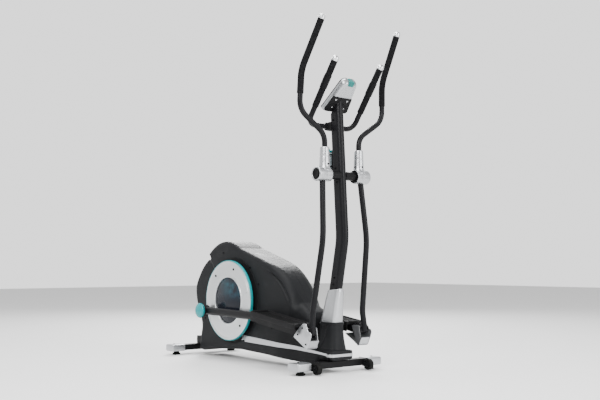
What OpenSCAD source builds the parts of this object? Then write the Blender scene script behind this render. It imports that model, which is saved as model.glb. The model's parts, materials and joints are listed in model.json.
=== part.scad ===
// Elliptical trainer with a rear drive, a raked column, swinging arms and pedal bars.
// X points forward (the way the user faces), Y to the user's left, Z up. Millimetres.
// Every piece is laid out with x = 0 on the front stabilizer's axis and z = 0 on the floor,
// then moved along X so that the origin is under the middle of the machine.

/* [Stance] */
// Distance between the two stabilizers' axes
wheelbase = 1112; // [1000:1:1350]
// Overall length of the front stabilizer, across the machine
front_span = 500; // [460:1:640]
// Overall length of the rear stabilizer, across the machine
rear_span = 444; // [400:1:600]
// Height of the stabilizer tubes' axes above the floor
stab_z = 37; // [34:1:50]
// Depth of a stabilizer tube, along X
stab_depth = 50; // [40:1:60]
// Height of a stabilizer tube
stab_height = 32; // [26:1:34]
// Wall of a stabilizer tube
stab_wall = 2; // [1.5:0.5:3]
// Length of a stabilizer end cap
cap_length = 76; // [50:1:90]
// Wall of a stabilizer end cap
cap_wall = 3; // [2:0.5:5]
// Radius of a rubber foot
foot_r = 22; // [15:1:28]

/* [Transport wheels] */
// Radius of a transport wheel
wheel_r = 25; // [20:1:30]
// Width of a transport wheel
wheel_width = 22; // [14:1:30]
// Distance of a wheel's middle from the symmetry plane
wheel_y = 154; // [120:1:160]
// Height of a wheel's lowest point above the floor
wheel_lift = 3; // [1:0.5:8]
// Radius of a wheel's axle
wheel_axle_r = 4; // [3:0.5:6]

/* [Frame] */
// Width of the main rail
rail_width = 60; // [50:1:64]
// Height of the main rail
rail_height = 40; // [30:1:60]
// Wall of the main rail
rail_wall = 2.5; // [1.5:0.5:4]

/* [Column] */
// Depth of the oval column tube, along X
column_depth = 68; // [56:1:80]
// Width of the oval column tube
column_width = 40; // [34:1:44]
// Wall of the column tube
column_wall = 2; // [1.5:0.5:3]
// X of the column's foot
column_foot_x = -56; // [-80:1:-40]
// Height of the column's bend
column_bend_z = 600; // [500:1:680]
// Forward lean of the lower column, in degrees from upright
lean_low = 11.6; // [8:0.1:14]
// Backward lean of the upper column, in degrees from upright
lean_high = 3.5; // [1:0.1:6]

/* [Drive] */
// Crank axis ahead of the rear stabilizer
crank_ahead = 412; // [380:1:460]
// Height of the crank axis
crank_z = 303; // [290:1:320]
// Throw of the crank, from its axis to a pedal pin
crank_throw = 172; // [140:1:180]
// Angle of the pedal pins behind the crank axis, below the horizontal, in degrees
pin_angle = 19; // [10:1:25]
// Outer radius of a crank disc, with its coloured rim
disc_r = 205; // [195:1:210]
// Radius of the dome in the middle of a crank disc
dome_r = 118; // [100:1:125]
// Radius of the crank axle
crank_axle_r = 10; // [8:0.5:12]
// Radius of the drive pulley
pulley_r = 150; // [120:1:155]
// Radius of the flywheel
flywheel_r = 130; // [110:1:132]
// Flywheel axis ahead of the crank axis
flywheel_ahead = 322; // [312:1:335]
// Height of the flywheel axis
flywheel_z = 288; // [275:1:295]
// Radius of the flywheel's axle
flywheel_axle_r = 6; // [5:0.5:8]
// Radius of the small belt pulley on the flywheel
flywheel_pulley_r = 30; // [25:1:40]

/* [Arms] */
// X of the arms' pivot axle
tee_x = 44; // [40:1:48]
// Height of the arms' pivot axle
tee_z = 890; // [840:1:940]
// X of the joint between an arm and its pedal bar
joint_x = 2; // [-10:1:12]
// Height of the joint between an arm and its pedal bar
joint_z = 182; // [170:1:195]
// Radius of the pivot axle
axle_r = 12; // [10:0.5:16]
// Radius of a lower arm's tube
arm_r = 13.5; // [11:0.5:15]
// Wall of the arms' and handles' tubes
arm_wall = 2; // [1.5:0.5:3]
// Radius of an upper handle's tube
handle_r = 12.5; // [11:0.5:13]
// Radius of the foam on the handles
grip_r = 15; // [14.5:0.5:18]
// Sideways place of a handle's upper part
handle_y = 250; // [230:1:270]
// Height of a handle's tip
handle_top_z = 1557; // [1480:1:1620]

/* [Pedals] */
// Sideways place of the pedal bars' middle
bar_y = 156; // [150:1:170]
// Height of a pedal bar
bar_height = 40; // [34:1:44]
// Length of a footplate
foot_length = 338; // [300:1:350]
// Width of a footplate
foot_width = 104; // [90:1:108]
// Radius of the domed cap on a pedal pin
pin_cap_r = 38; // [30:1:42]

/* [Handlebar] */
// Height of the fixed handlebar's cross part
bar_low_z = 1125; // [1090:1:1150]
// Height of the fixed handlebar's tips
bar_top_z = 1390; // [1340:1:1420]
// Sideways place of the fixed handlebar's grips
bar_grip_y = 138; // [125:1:160]

/* [Console] */
// X of the lower edge of the console's face
console_x = -24; // [-30:1:-15]
// Height of the lower edge of the console's face
console_z = 1210; // [1195:1:1230]
// Length of the console's face, from its lower to its upper edge
console_length = 172; // [160:1:190]
// Half of the console's width at its lower edge
console_low_w = 70; // [60:1:80]
// Half of the console's width at its upper edge
console_high_w = 46; // [40:1:60]
// Tilt of the console's face away from the user, in degrees from upright
console_tilt = 44; // [35:1:50]

/* [Covers] */
// Half of the width of the drive's shroud
shroud_half = 90; // [89:0.5:92]
// Half of the width of the shroud's nose, ahead of the drive
nose_half = 72; // [64:1:76]
// Wall of every plastic cover
cover_wall = 3; // [2:0.5:4]

/* [Fits] */
// Radial clearance of a bore that turns on its axle
run_fit = 0.05; // [0.02:0.01:0.1]
// Gap between faces of neighbouring pieces that move past each other
side_gap = 1; // [0.5:0.1:2]
// Gap between still pieces that are only laid together
still_gap = 0.3; // [0.2:0.1:0.5]

/* [Hidden] */
$fn = 48;
EPS = 0.01;

// Overall places
cap_depth = stab_depth + 28;
wheel_x = stab_depth / 2 + wheel_r + 2;
wheel_z = wheel_r + wheel_lift;
tip_ahead = 134;
front_reach = tee_x + tip_ahead + 15;
rear_reach = wheelbase + cap_depth / 2;
x_mid = (front_reach - rear_reach) / 2;
crank_x = -wheelbase + crank_ahead;
flywheel_x = crank_x + flywheel_ahead;
rail_bottom = stab_z + stab_height / 2;
rail_top = rail_bottom + rail_height;

// Column: foot, bend and the upper part's direction
bend_x = column_foot_x + (column_bend_z - rail_top) * tan(lean_low);
function column_x(z) = z < column_bend_z ? column_foot_x + (z - rail_top) * tan(lean_low)
                                         : bend_x - (z - column_bend_z) * tan(lean_high);
column_rear = column_x(bar_low_z) - column_depth / 2;

// Crank discs and pedal pins, measured out from the symmetry plane
disc_in = 104;
disc_out = 126;
pin = [crank_x - crank_throw * cos(pin_angle), crank_z - crank_throw * sin(pin_angle)];
pin_r = 10;
pin_in = disc_out + side_gap;
eye_half = arm_r + 0.5;
bar_width = 2 * (eye_half + side_gap);
bar_in = bar_y - bar_width / 2;
bar_out = bar_y + bar_width / 2;
lug = 6;
joint_pin_r = 8;

// Pedal bar: a level rear part and a front part that slopes down to the joint
slope = 7.8;
bar_bend = [joint_x - 402 * cos(slope), joint_z + 402 * sin(slope)];
foot_drop = 48;

// Arms, measured out from the symmetry plane
hub_in = 82;
hub_out = 150;
hub_r = 25;
tee_r = 33;
sleeve_y = 104;
arm_path = [[tee_x, 115, tee_z - 18], [joint_x + 66, 132, 600], [joint_x + 14, 150, 268],
            [joint_x + 20, bar_y, joint_z + 22]];
arm_bends = [0, 420, 160, 0];
handle_path = [[tee_x + 2, sleeve_y, tee_z + 22], [tee_x + 3, sleeve_y, tee_z + 181],
               [tee_x + 6, handle_y + 2, tee_z + 279], [tee_x + 13, handle_y - 3, tee_z + 455],
               [tee_x + tip_ahead, handle_y - 20, handle_top_z]];
handle_bends = [0, 70, 80, 160, 0];

// Fixed handlebar, one tube bent to a U that leans forward
fixed_r = 12.5;
saddle = 3;
fixed_x = column_rear - saddle - fixed_r;
fixed_top = [fixed_x + 194, bar_grip_y, bar_top_z];
fixed_path = [fixed_top, [fixed_x, bar_grip_y, bar_low_z], [fixed_x, -bar_grip_y, bar_low_z],
              [fixed_x + 194, -bar_grip_y, bar_top_z]];
fixed_bends = [0, 45, 45, 0];
fixed_dir = unit([194, 0, bar_top_z - bar_low_z]);

// Console: its back is this far behind its face
console_thick = 36;
plate_in = 24;
plate_out = 31;

// Bottle and its cage
bottle_r = 32;
bottle_z = 916;
bottle_h = 112;
bottle_x = column_x(bottle_z + bottle_h / 2) - column_depth / 2 - bottle_r - 9;

// ---- Helpers ----

function unit(v) = v / norm(v);
function mix(a, b, t) = a + (b - a) * t;

// Length of a bend's tangent from its corner, for three points and a bend radius
function tangent(a, b, c, r) = r * tan(acos(max(-1, min(1, unit(b - a) * unit(c - b)))) / 2);

// Points of a cubic Bezier curve
function bezier(a, b, c, d, n) = [for (i = [0:n]) let (t = i / n)
    pow(1 - t, 3) * a + 3 * t * pow(1 - t, 2) * b + 3 * t * t * (1 - t) * c + t * t * t * d];

// Points of an arc about c, from angle a to angle b
function arc(c, r, a, b, n) = [for (i = [0:n]) c + r * [cos(mix(a, b, i / n)), sin(mix(a, b, i / n))]];

// Outline moved inwards by d, for points that run anticlockwise
function inset(pts, d) = [for (i = [0:len(pts) - 1]) let (
    p = pts[(i + len(pts) - 1) % len(pts)], q = pts[i], s = pts[(i + 1) % len(pts)],
    u = unit(q - p), v = unit(s - q), m = unit([-u[1] - v[1], u[0] + v[0]]),
    k = max(0.5, m * [-u[1], u[0]])) q + m * d / k];

module placed() translate([-x_mid, 0, 0]) children();
module right() mirror([0, 1, 0]) children();
module both() { children(); right() children(); }

// A straight rod between two points
module rod(a, b, r) {
    d = b - a;
    translate(a) rotate([0, acos(d[2] / norm(d)), atan2(d[1], d[0])]) cylinder(r = r, h = norm(d));
}

// Round section, hollow where it has a wall
module ring(r, wall) difference() {
    circle(r = r);
    if (wall > 0) circle(r = r - wall);
}

// A tube or rod along a path of points, with an arc of the given radius at each inner point.
// It is laid like a real one: straight, bend, straight, each drawn from the last one's end.
module bent_rod(path, bends, r, wall = 0) {
    last = len(path) - 1;
    dirs = [for (i = [0:last - 1]) unit(path[i + 1] - path[i])];
    axes = [for (i = [1:last - 1]) unit(cross(dirs[i - 1], dirs[i]))];
    x = cross(axes[0], dirs[0]);
    y = axes[0];
    z = dirs[0];
    translate(path[0]) multmatrix([[x[0], y[0], z[0], 0], [x[1], y[1], z[1], 0], [x[2], y[2], z[2], 0], [0, 0, 0, 1]])
        stretch(0, path, bends, dirs, axes, r, wall);
}

// Stretch number i of such a path, along its own z, and all that comes after it
module stretch(i, path, bends, dirs, axes, r, wall) {
    last = len(dirs) - 1;
    before = i == 0 ? 0 : tangent(path[i - 1], path[i], path[i + 1], bends[i]);
    after = i == last ? 0 : tangent(path[i], path[i + 1], path[i + 2], bends[i + 1]);
    long = norm(path[i + 1] - path[i]) - before - after;
    linear_extrude(height = long) ring(r, wall);
    if (i < last) translate([0, 0, long]) {
        b = bends[i + 1];
        angle = acos(dirs[i] * dirs[i + 1]);
        roll = i + 1 < last ? atan2(cross(axes[i], axes[i + 1]) * dirs[i + 1], axes[i] * axes[i + 1]) : 0;
        translate([b, 0, 0]) rotate([90, 0, 180]) rotate_extrude(angle = angle) translate([b, 0]) ring(r, wall);
        translate([b, 0, 0]) rotate([0, angle, 0]) translate([-b, 0, 0]) rotate([0, 0, roll])
            stretch(i + 1, path, bends, dirs, axes, r, wall);
    }
}

// A side outline in X and Z, extruded across the machine from y = a to y = b
module across(a, b) translate([0, b, 0]) rotate([90, 0, 0]) linear_extrude(height = b - a) children();

// A cylinder across the machine, from y = a to y = b, at a place in X and Z
module pin_across(p, r, a, b) translate([p[0], a, p[1]]) rotate([-90, 0, 0]) cylinder(r = r, h = b - a);

// An oval, long along X
module oval(depth, width) {
    square([depth - width, width], center = true);
    for (s = [-1, 1]) translate([s * (depth - width) / 2, 0]) circle(r = width / 2);
}

// A box centred on X and Y that stands on z = 0
module block(x, y, z) translate([-x / 2, -y / 2, 0]) cube([x, y, z]);

// ---- Frame ----

module column_solid(grow, z_from) {
    bend_r = 300;
    cut = bend_r * tan((lean_low + lean_high) / 2);
    low = column_bend_z - cut * cos(lean_low);
    translate([column_x(z_from), 0, z_from]) rotate([0, lean_low, 0])
        linear_extrude(height = (low - z_from) / cos(lean_low))
            oval(column_depth + 2 * grow, column_width + 2 * grow);
    translate([column_x(low), 0, low]) rotate([0, lean_low, 0]) translate([-bend_r, 0, 0]) rotate([90, 0, 0])
        rotate_extrude(angle = lean_low + lean_high) translate([bend_r, 0])
            oval(column_depth + 2 * grow, column_width + 2 * grow);
    translate([bend_x - cut * sin(lean_high), 0, column_bend_z + cut * cos(lean_high)])
        rotate([0, -lean_high, 0]) linear_extrude(height = 900)
            oval(column_depth + 2 * grow, column_width + 2 * grow);
}

module rail() difference() {
    translate([-wheelbase - 30, -rail_width / 2, rail_bottom]) cube([wheelbase + 62, rail_width, rail_height]);
    translate([-wheelbase - 31, -rail_width / 2 + rail_wall, rail_bottom + rail_wall])
        cube([wheelbase + 64, rail_width - 2 * rail_wall, rail_height - 2 * rail_wall]);
}

// Stub that the column slides over
module column_stub() {
    grow = -column_wall - still_gap;
    stub_h = 160;
    intersection() {
        translate([column_x(rail_top - 20), 0, rail_top - 20]) rotate([0, lean_low, 0])
            linear_extrude(height = stub_h + 40) difference() {
                oval(column_depth + 2 * grow, column_width + 2 * grow);
                oval(column_depth + 2 * grow - 6, column_width + 2 * grow - 6);
            }
        translate([column_foot_x - 100, -50, rail_top]) cube([260, 100, stub_h]);
    }
}

bearing_r = 21;
bearing_w = 12;
shell_from = -60;
shell_to = 20;
fork_a = -50;
fork_b = 56;
plate = 6;

module crank_tower() difference() {
    union() {
        translate([crank_x, (shell_from + shell_to) / 2, rail_top]) block(60, 40, crank_z - rail_top);
        pin_across([crank_x, crank_z], bearing_r + 5, shell_from, shell_to);
    }
    translate([crank_x, (shell_from + shell_to) / 2, rail_top - 1]) block(54, 34, crank_z - rail_top - bearing_r - 8);
    pin_across([crank_x, crank_z], bearing_r, shell_from - 1, shell_from + bearing_w);
    pin_across([crank_x, crank_z], bearing_r, shell_to - bearing_w, shell_to + 1);
    pin_across([crank_x, crank_z], crank_axle_r + 4, shell_from - 1, shell_to + 1);
}

module flywheel_fork() difference() {
    union() {
        for (y = [fork_a, fork_b]) {
            translate([flywheel_x, y, rail_top - 12]) block(54, plate, flywheel_z - rail_top + 12);
            pin_across([flywheel_x, flywheel_z], 27, y - plate / 2, y + plate / 2);
        }
        translate([flywheel_x, (fork_a + fork_b) / 2, rail_top]) block(54, fork_b - fork_a, 5);
    }
    pin_across([flywheel_x, flywheel_z], flywheel_axle_r, fork_a - 10, fork_b + 10);
}

brake_pivot = [flywheel_x + 52, flywheel_z - 141];
brake_pin_r = 4;
brake_from = -34;
brake_to = -4;

module brake_bracket() {
    for (y = [brake_from - 6, brake_to + 6]) translate([brake_pivot[0], y, rail_top - 4])
        block(22, 4, brake_pivot[1] - rail_top + 12);
    pin_across(brake_pivot, brake_pin_r, brake_from - 8, brake_to + 8);
    translate([brake_pivot[0], (brake_from + brake_to) / 2, rail_top]) block(22, 46, 4);
}

module base_frame() color("#26282a") placed() {
    rail();
    column_stub();
    crank_tower();
    flywheel_fork();
    brake_bracket();
}

module crank_bearings() color("silver") placed()
    for (y = [shell_from, shell_to - bearing_w]) difference() {
        pin_across([crank_x, crank_z], bearing_r, y, y + bearing_w);
        pin_across([crank_x, crank_z], crank_axle_r + run_fit, y - 1, y + bearing_w + 1);
    }

module stabilizer(x, span) translate([x, 0, stab_z]) difference() {
    cube([stab_depth, span - 2 * cap_wall, stab_height], center = true);
    cube([stab_depth - 2 * stab_wall, span, stab_height - 2 * stab_wall], center = true);
}

module front_stabilizer() color("#26282a") placed() stabilizer(0, front_span);
module rear_stabilizer() color("#26282a") placed() stabilizer(-wheelbase, rear_span);

// End cap: a rounded box with a socket for the tube
module stabilizer_cap(x, span) translate([x, span / 2 - cap_length, stab_z]) difference() {
    height = stab_height + 2 * cap_wall;
    corner = 6;
    rotate([-90, 0, 0]) linear_extrude(height = cap_length) {
        square([cap_depth, height - 2 * corner], center = true);
        square([cap_depth - 2 * corner, height], center = true);
        for (sx = [-1, 1], sz = [-1, 1])
            translate([sx * (cap_depth / 2 - corner), sz * (height / 2 - corner)]) circle(r = corner);
    }
    translate([-stab_depth / 2, -1, -stab_height / 2]) cube([stab_depth, cap_length + 1 - cap_wall, stab_height]);
}

module stabilizer_caps() color("#c9cbcc") placed() both() {
    stabilizer_cap(0, front_span);
    stabilizer_cap(-wheelbase, rear_span);
}

module foot_pads() color("#1b1c1d") placed() both() for (f = [[0, front_span], [-wheelbase, rear_span]])
    translate([f[0], f[1] / 2 - 44, 0]) {
        cylinder(r = foot_r, h = 9);
        cylinder(r = foot_r - 7, h = stab_z - stab_height / 2 - cap_wall);
    }

// ---- Transport wheels ----

module wheel_fork() {
    cheek = 3;
    gap = wheel_width / 2 + side_gap;
    reach = stab_depth / 2;
    for (y = [wheel_y - gap - cheek, wheel_y + gap]) difference() {
        union() {
            translate([reach, y, wheel_z - 9]) cube([wheel_x - reach, cheek, 18]);
            pin_across([wheel_x, wheel_z], 13, y, y + cheek);
        }
        pin_across([wheel_x, wheel_z], wheel_axle_r, y - 1, y + cheek + 1);
    }
    pin_across([wheel_x, wheel_z], wheel_axle_r, wheel_y - gap - cheek, wheel_y + gap + cheek);
}

module wheel_forks() color("#1b1c1d") placed() both() wheel_fork();

module wheel() translate([wheel_x, wheel_y, wheel_z]) rotate([90, 0, 0]) difference() {
    rotate_extrude() polygon([[0, -wheel_width / 2], [wheel_r - 3, -wheel_width / 2], [wheel_r, 3 - wheel_width / 2],
        [wheel_r, wheel_width / 2 - 3], [wheel_r - 3, wheel_width / 2], [0, wheel_width / 2]]);
    cylinder(r = wheel_axle_r + run_fit, h = wheel_width + 2, center = true);
}

module wheel_left() color("#222324") placed() wheel();
module wheel_right() color("#222324") placed() right() wheel();

// ---- Column ----

// Everything behind a plane of the console
module behind_plate(d) console_frame() translate([d, -200, -1500]) cube([2500, 400, 3000]);

module column() color("#2a2c2e") placed() difference() {
    intersection() {
        column_solid(0, rail_top + 2);
        behind_plate(plate_out);
    }
    column_solid(-column_wall, rail_top - 20);
    translate([column_foot_x - 100, -50, rail_top - 60]) cube([260, 100, 62]);
    pin_across([tee_x, tee_z], axle_r, -60, 60);
}

sleeve_low = 222;
sleeve_high = 372;

// A slab of the silver sleeve: bottom, top, depth and width
module sleeve_slab(z0, z1, depth, width) translate([column_x((z0 + z1) / 2), 0, z0])
    linear_extrude(height = z1 - z0) oval(depth, width);

module column_cover() color("#c9cbcc") placed() difference() {
    union() {
        sleeve_slab(sleeve_low, sleeve_low + 22, 104, 74);
        sleeve_slab(sleeve_low + 22, sleeve_low + 52, 99, 70);
        sleeve_slab(sleeve_low + 52, sleeve_low + 82, 94, 66);
        sleeve_slab(sleeve_low + 82, sleeve_low + 110, 90, 62);
        sleeve_slab(sleeve_low + 110, sleeve_high, column_depth + 12, column_width + 12);
    }
    column_solid(still_gap, rail_top - 20);
}

// Housing round the column's foot
module front_cover() color("#2b2d2f") placed() difference() {
    top = sleeve_low - still_gap;
    foot = nose_top + still_gap;
    union() for (i = [0:4]) let (t = i / 5, z = mix(foot, top, t))
        translate([0, 0, z]) linear_extrude(height = (top - foot) / 5)
            translate([mix(-32, column_x(top), t), 0]) oval(mix(140, 114, t), mix(112, 84, t));
    union() for (i = [0:4]) let (t = i / 5, z = mix(foot, top, t))
        translate([0, 0, z - 1]) linear_extrude(height = (top - foot) / 5 + 2)
            translate([mix(-32, column_x(top), t), 0])
                oval(mix(140, 114, t) - 2 * cover_wall - 6, mix(112, 84, t) - 2 * cover_wall - 6);
}

// ---- Shroud ----

// Rear, top and front of the drive's housing, anticlockwise from the bottom's front end
nose_top = 99.5;
shroud_bottom = [[45, 56], [-34, 56], [-50, 30], [-186, 30], [-430, 47], [-650, 56], [-830, 46], [crank_x - 300, 26]];
shroud_rear = concat([[crank_x - 330, 32], [crank_x - 322, 80], [crank_x - 306, 160]],
    bezier([crank_x - 318, 205], [crank_x - 405, 330], [crank_x - 385, 440], [crank_x - 255, 528], 12));
shroud_top = concat(bezier([crank_x - 236, 546], [crank_x - 165, 610], [crank_x - 80, 634], [crank_x + 40, 568], 10),
    [[crank_x + 215, 516]],
    bezier([crank_x + 319, 482], [crank_x + 430, 440], [crank_x + 462, 370], [crank_x + 507, 306], 9));
shroud_front = [[crank_x + 530, 290], [-119, 262], [-104, 240], [-104, nose_top], [40, nose_top], [45, nose_top - 7]];

// The nose drops out of the wider drive part of the outline
function turned(pts) = [for (i = [len(pts) - 1:-1:0]) pts[i]];
whole_outline = turned(concat(shroud_bottom, shroud_rear, shroud_top, shroud_front));
drive_outline = turned(concat([[crank_x + 505, 36], [-430, 48], [-650, 57], [-830, 47]], [shroud_bottom[6]],
    shroud_rear, shroud_top));

// Steps that round the shroud's edge: y from, y to and inset
function shroud_steps() = [[nose_half, shroud_half - 9, 6], [shroud_half - 9, shroud_half, 15]];

module shroud_block(grow, wall) {
    across(0, nose_half - wall) polygon(inset(whole_outline, grow));
    for (s = shroud_steps()) across(s[0] - wall - 2, s[1] - wall) polygon(inset(drive_outline, s[2] + grow));
}

// Left half of the shroud
module shroud_half_shell() difference() {
    translate([0, still_gap / 2, 0]) shroud_block(0, 0);
    translate([0, -1, 0]) shroud_block(cover_wall, cover_wall);
    pin_across([crank_x, crank_z], 30, 40, 120);
    // Openings for the rail and for the column
    translate([-wheelbase - 40, -1, rail_bottom - 1]) cube([wheelbase + 74, rail_width / 2 + 2, rail_height + 2]);
    translate([column_foot_x - 38, -1, nose_top - 8]) cube([80, column_width / 2 + 4, 20]);
    // V-shaped groove between the upper shell and the tail
    translate([crank_x - 245, -1, 537]) rotate([0, 38, 0]) translate([-8, 0, -22]) cube([16, 120, 60]);
}

module shroud_left() color("#303234") placed() shroud_half_shell();
module shroud_right() color("#303234") placed() right() shroud_half_shell();

// Silver strip along the nose and round its front
strip_out = nose_half + 3;
module strip_side() {
    clear = still_gap / 2;
    across(nose_half + clear, strip_out) polygon([[-8, 80], [-8, 90], [crank_x + 506, 107], [crank_x + 506, 88]]);
    across(shroud_half + clear, shroud_half + 3)
        polygon([[crank_x + 506, 89], [crank_x + 506, 107], [crank_x + 78, 134], [crank_x + 88, 100]]);
    // Two steps round the shroud's front edge
    translate([crank_x + 500, nose_half + clear, 89]) cube([6, shroud_half - nose_half + 3 - clear, 18]);
    translate([crank_x + 491, shroud_half - 9 + still_gap, 89]) cube([15, 12 - still_gap, 18]);
    across(nose_half + clear, strip_out) polygon([[45 + clear, 70], [48, 70], [48, 83], [-8, 90], [-8, 80]]);
}

module trim_strip() color("#c9cbcc") placed() {
    both() strip_side();
    translate([45 + still_gap / 2, -strip_out, 70]) cube([3 - still_gap / 2, 2 * strip_out, 13]);
}

// Places of the shroud's screws, on its flat side
screw_spots = [[crank_x - 92, 546], [crank_x + 222, 388], [crank_x + 330, 180], [crank_x - 262, 200],
               [crank_x + 150, 470]];
module cover_screws() color("#141516") placed() both() for (p = screw_spots) difference() {
    pin_across(p, 5, shroud_half + still_gap / 2 + 0.05, shroud_half + 2);
    translate([p[0] - 4, shroud_half + 1, p[1] - 0.6]) cube([8, 2, 1.2]);
    translate([p[0] - 0.6, shroud_half + 1, p[1] - 4]) cube([1.2, 2, 8]);
}

// ---- Drive ----

belt_from = 34;
belt_to = 50;

module drive_pulley() color("#3a3c3e") placed() translate([crank_x, belt_from, crank_z]) rotate([-90, 0, 0])
    rotate_extrude() {
        width = belt_to - belt_from;
        translate([crank_axle_r, 0]) square([14, width]);
        translate([crank_axle_r, width / 2 - 3]) square([pulley_r - crank_axle_r - 5, 6]);
        translate([pulley_r - 10, 0]) square([10, width]);
    }

module flywheel() color("#8f9294") placed() translate([flywheel_x, brake_from, flywheel_z]) rotate([-90, 0, 0])
    rotate_extrude() {
        bore = flywheel_axle_r + run_fit;
        hub = 18;
        rim = 34;
        width = brake_to - brake_from;
        translate([bore, 0]) square([hub - bore, belt_to - brake_from]);
        translate([bore, width / 2 - 5]) square([flywheel_r - bore - 5, 10]);
        translate([flywheel_r - rim, 0]) square([rim, width]);
        translate([bore, belt_from - brake_from]) square([flywheel_pulley_r - bore, belt_to - belt_from]);
    }

module flywheel_axle() color("silver") placed()
    pin_across([flywheel_x, flywheel_z], flywheel_axle_r, fork_a - 9, fork_b + 9);

// Curved arm with magnets that swings away from the flywheel's rim
module brake_arm() color("#9da0a2") placed() difference() {
    gap = 2.5;
    thick = 9;
    c = [flywheel_x, flywheel_z];
    union() {
        difference() {
            pin_across(c, flywheel_r + gap + thick, brake_from, brake_to);
            pin_across(c, flywheel_r + gap, brake_from - 1, brake_to + 1);
            across(brake_from - 2, brake_to + 2) polygon([c, c + 300 * [cos(10), sin(10)], c + 300 * [0.7, 0.9],
                c + 300 * [-1, 1], c + 300 * [-1, -1], c + 300 * [cos(-68), sin(-68)]]);
        }
        pin_across(brake_pivot, 9, brake_from, brake_to);
    }
    pin_across(brake_pivot, brake_pin_r + run_fit, brake_from - 1, brake_to + 1);
    pin_across(c, flywheel_r + gap - EPS, brake_from - 1, brake_to + 1);
}

// Outline round both pulleys, a given distance off their rims
module belt_outline(off) {
    a = [crank_x, crank_z];
    b = [flywheel_x, flywheel_z];
    d = b - a;
    tilt = atan2(d[1], d[0]);
    spread = acos((pulley_r - flywheel_pulley_r) / norm(d));
    big = pulley_r + off;
    small = flywheel_pulley_r + off;
    translate(a) circle(r = big, $fn = 96);
    translate(b) circle(r = small);
    polygon([a + big * [cos(tilt + spread), sin(tilt + spread)], b + small * [cos(tilt + spread), sin(tilt + spread)],
        b + small * [cos(tilt - spread), sin(tilt - spread)], a + big * [cos(tilt - spread), sin(tilt - spread)]]);
}

module drive_belt() color("#1a1a1a") placed() across(belt_from + 1, belt_to - 1) difference() {
    belt_outline(still_gap + 3);
    belt_outline(still_gap);
}

// One crank arm, from the axle out to a pedal pin's place
crank_from = disc_in - 10;
module crank_arm(a) translate([crank_x, 0, crank_z]) rotate([0, -a, 0]) translate([0, disc_in - still_gap, 0])
    rotate([90, 0, 0]) linear_extrude(height = disc_in - still_gap - crank_from) {
        translate([0, -16]) square([crank_throw, 32]);
        circle(r = 20);
        translate([crank_throw, 0]) circle(r = 16);
    }

module crank_axle() color("silver") placed() {
    pin_across([crank_x, crank_z], crank_axle_r, -disc_in + still_gap, disc_in - still_gap);
    crank_arm(pin_angle);
    right() crank_arm(180 + pin_angle);
}

// Crank disc: a dished ring with a boss where the pedal pin meets the crank
module crank_disc(a) translate([crank_x, disc_in, crank_z]) rotate([0, -a, 0]) rotate([-90, 0, 0]) {
    skin = 3;
    deep = disc_out - disc_in;
    ring_r = disc_r - 5;
    rotate_extrude() {
        translate([0, 0]) square([dome_r + skin, skin]);
        translate([dome_r, 0]) square([skin, deep]);
        translate([dome_r, deep - skin]) square([ring_r - dome_r, skin]);
        translate([ring_r - skin, 0]) square([skin, deep]);
    }
    translate([crank_throw, 0, 0]) cylinder(r = 13, h = deep);
}

module crank_discs() color("#c9cbcc") placed() {
    crank_disc(pin_angle);
    right() crank_disc(180 + pin_angle);
}

module disc_rims() color("#2aa39a") placed() both()
    translate([crank_x, disc_in + 3, crank_z]) rotate([-90, 0, 0]) difference() {
        cylinder(r = disc_r, h = disc_out - disc_in - 5);
        translate([0, 0, -1]) cylinder(r = disc_r - 5, h = 40);
    }

module disc_domes() color("#16191c") placed() both() {
    rise = 9;
    base = disc_out - 1 - rise;
    ball = (dome_r * dome_r + rise * rise) / (2 * rise);
    translate([crank_x, base, crank_z]) rotate([-90, 0, 0]) difference() {
        intersection() {
            translate([0, 0, rise - ball]) sphere(r = ball, $fn = 200);
            cylinder(r = dome_r - still_gap, h = rise + 1);
        }
        translate([0, 0, rise - ball - 3]) sphere(r = ball, $fn = 200);
    }
}

// ---- Arms ----

module pivot_axle() color("#2a2c2e") placed() {
    pin_across([tee_x, tee_z], axle_r, -hub_out - 2, hub_out + 2);
    both() difference() {
        pin_across([tee_x, tee_z], axle_r + 8, 14, hub_in - side_gap);
        column_solid(0, rail_top);
    }
}

module axle_plugs() color("#1b1c1d") placed() both()
    pin_across([tee_x, tee_z], 22, hub_out + 2, hub_out + 6);

module lower_arm() difference() {
    union() {
        bent_rod(arm_path, arm_bends, arm_r, arm_wall);
        pin_across([tee_x, tee_z], hub_r, hub_in, hub_out);
        pin_across([joint_x, joint_z], 19, bar_y - eye_half, bar_y + eye_half);
        // Solid foot that closes the tube, ahead of the eye
        translate([joint_x + 20, bar_y, joint_z - 4]) cylinder(r = arm_r + 0.3, h = 32);
    }
    pin_across([tee_x, tee_z], axle_r + run_fit, hub_in - 1, hub_out + 1);
    pin_across([joint_x, joint_z], joint_pin_r + run_fit, bar_in - 5, bar_out + 5);
}

module lower_arm_left() color("#2a2c2e") placed() lower_arm();
module lower_arm_right() color("#2a2c2e") placed() right() lower_arm();

// Tee-shaped cover: a barrel round the hub and a sleeve round the handle's foot
module tee_cover() difference() {
    union() {
        pin_across([tee_x, tee_z], tee_r, hub_in - 5, hub_out + 4);
        translate([tee_x + 2, sleeve_y, tee_z + 20]) cylinder(r = 23, h = 58);
        translate([tee_x + 2, sleeve_y, tee_z + 78]) cylinder(r = 21, h = 46);
    }
    pin_across([tee_x, tee_z], hub_r + still_gap, hub_in - 6, hub_out + 5);
    translate([tee_x + 2, sleeve_y, tee_z]) cylinder(r = handle_r + still_gap + 1, h = 200);
    translate([tee_x, 115, tee_z - 80]) cylinder(r = arm_r + 4, h = 80);
}

module tee_cover_left() color("#c9cbcc") placed() tee_cover();
module tee_cover_right() color("#c9cbcc") placed() right() tee_cover();

module handle() difference() {
    bent_rod(handle_path, handle_bends, handle_r, arm_wall);
    pin_across([tee_x, tee_z], hub_r, hub_in - 5, hub_out + 5);
}

module handle_left() color("#2a2c2e") placed() handle();
module handle_right() color("#2a2c2e") placed() right() handle();

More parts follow.
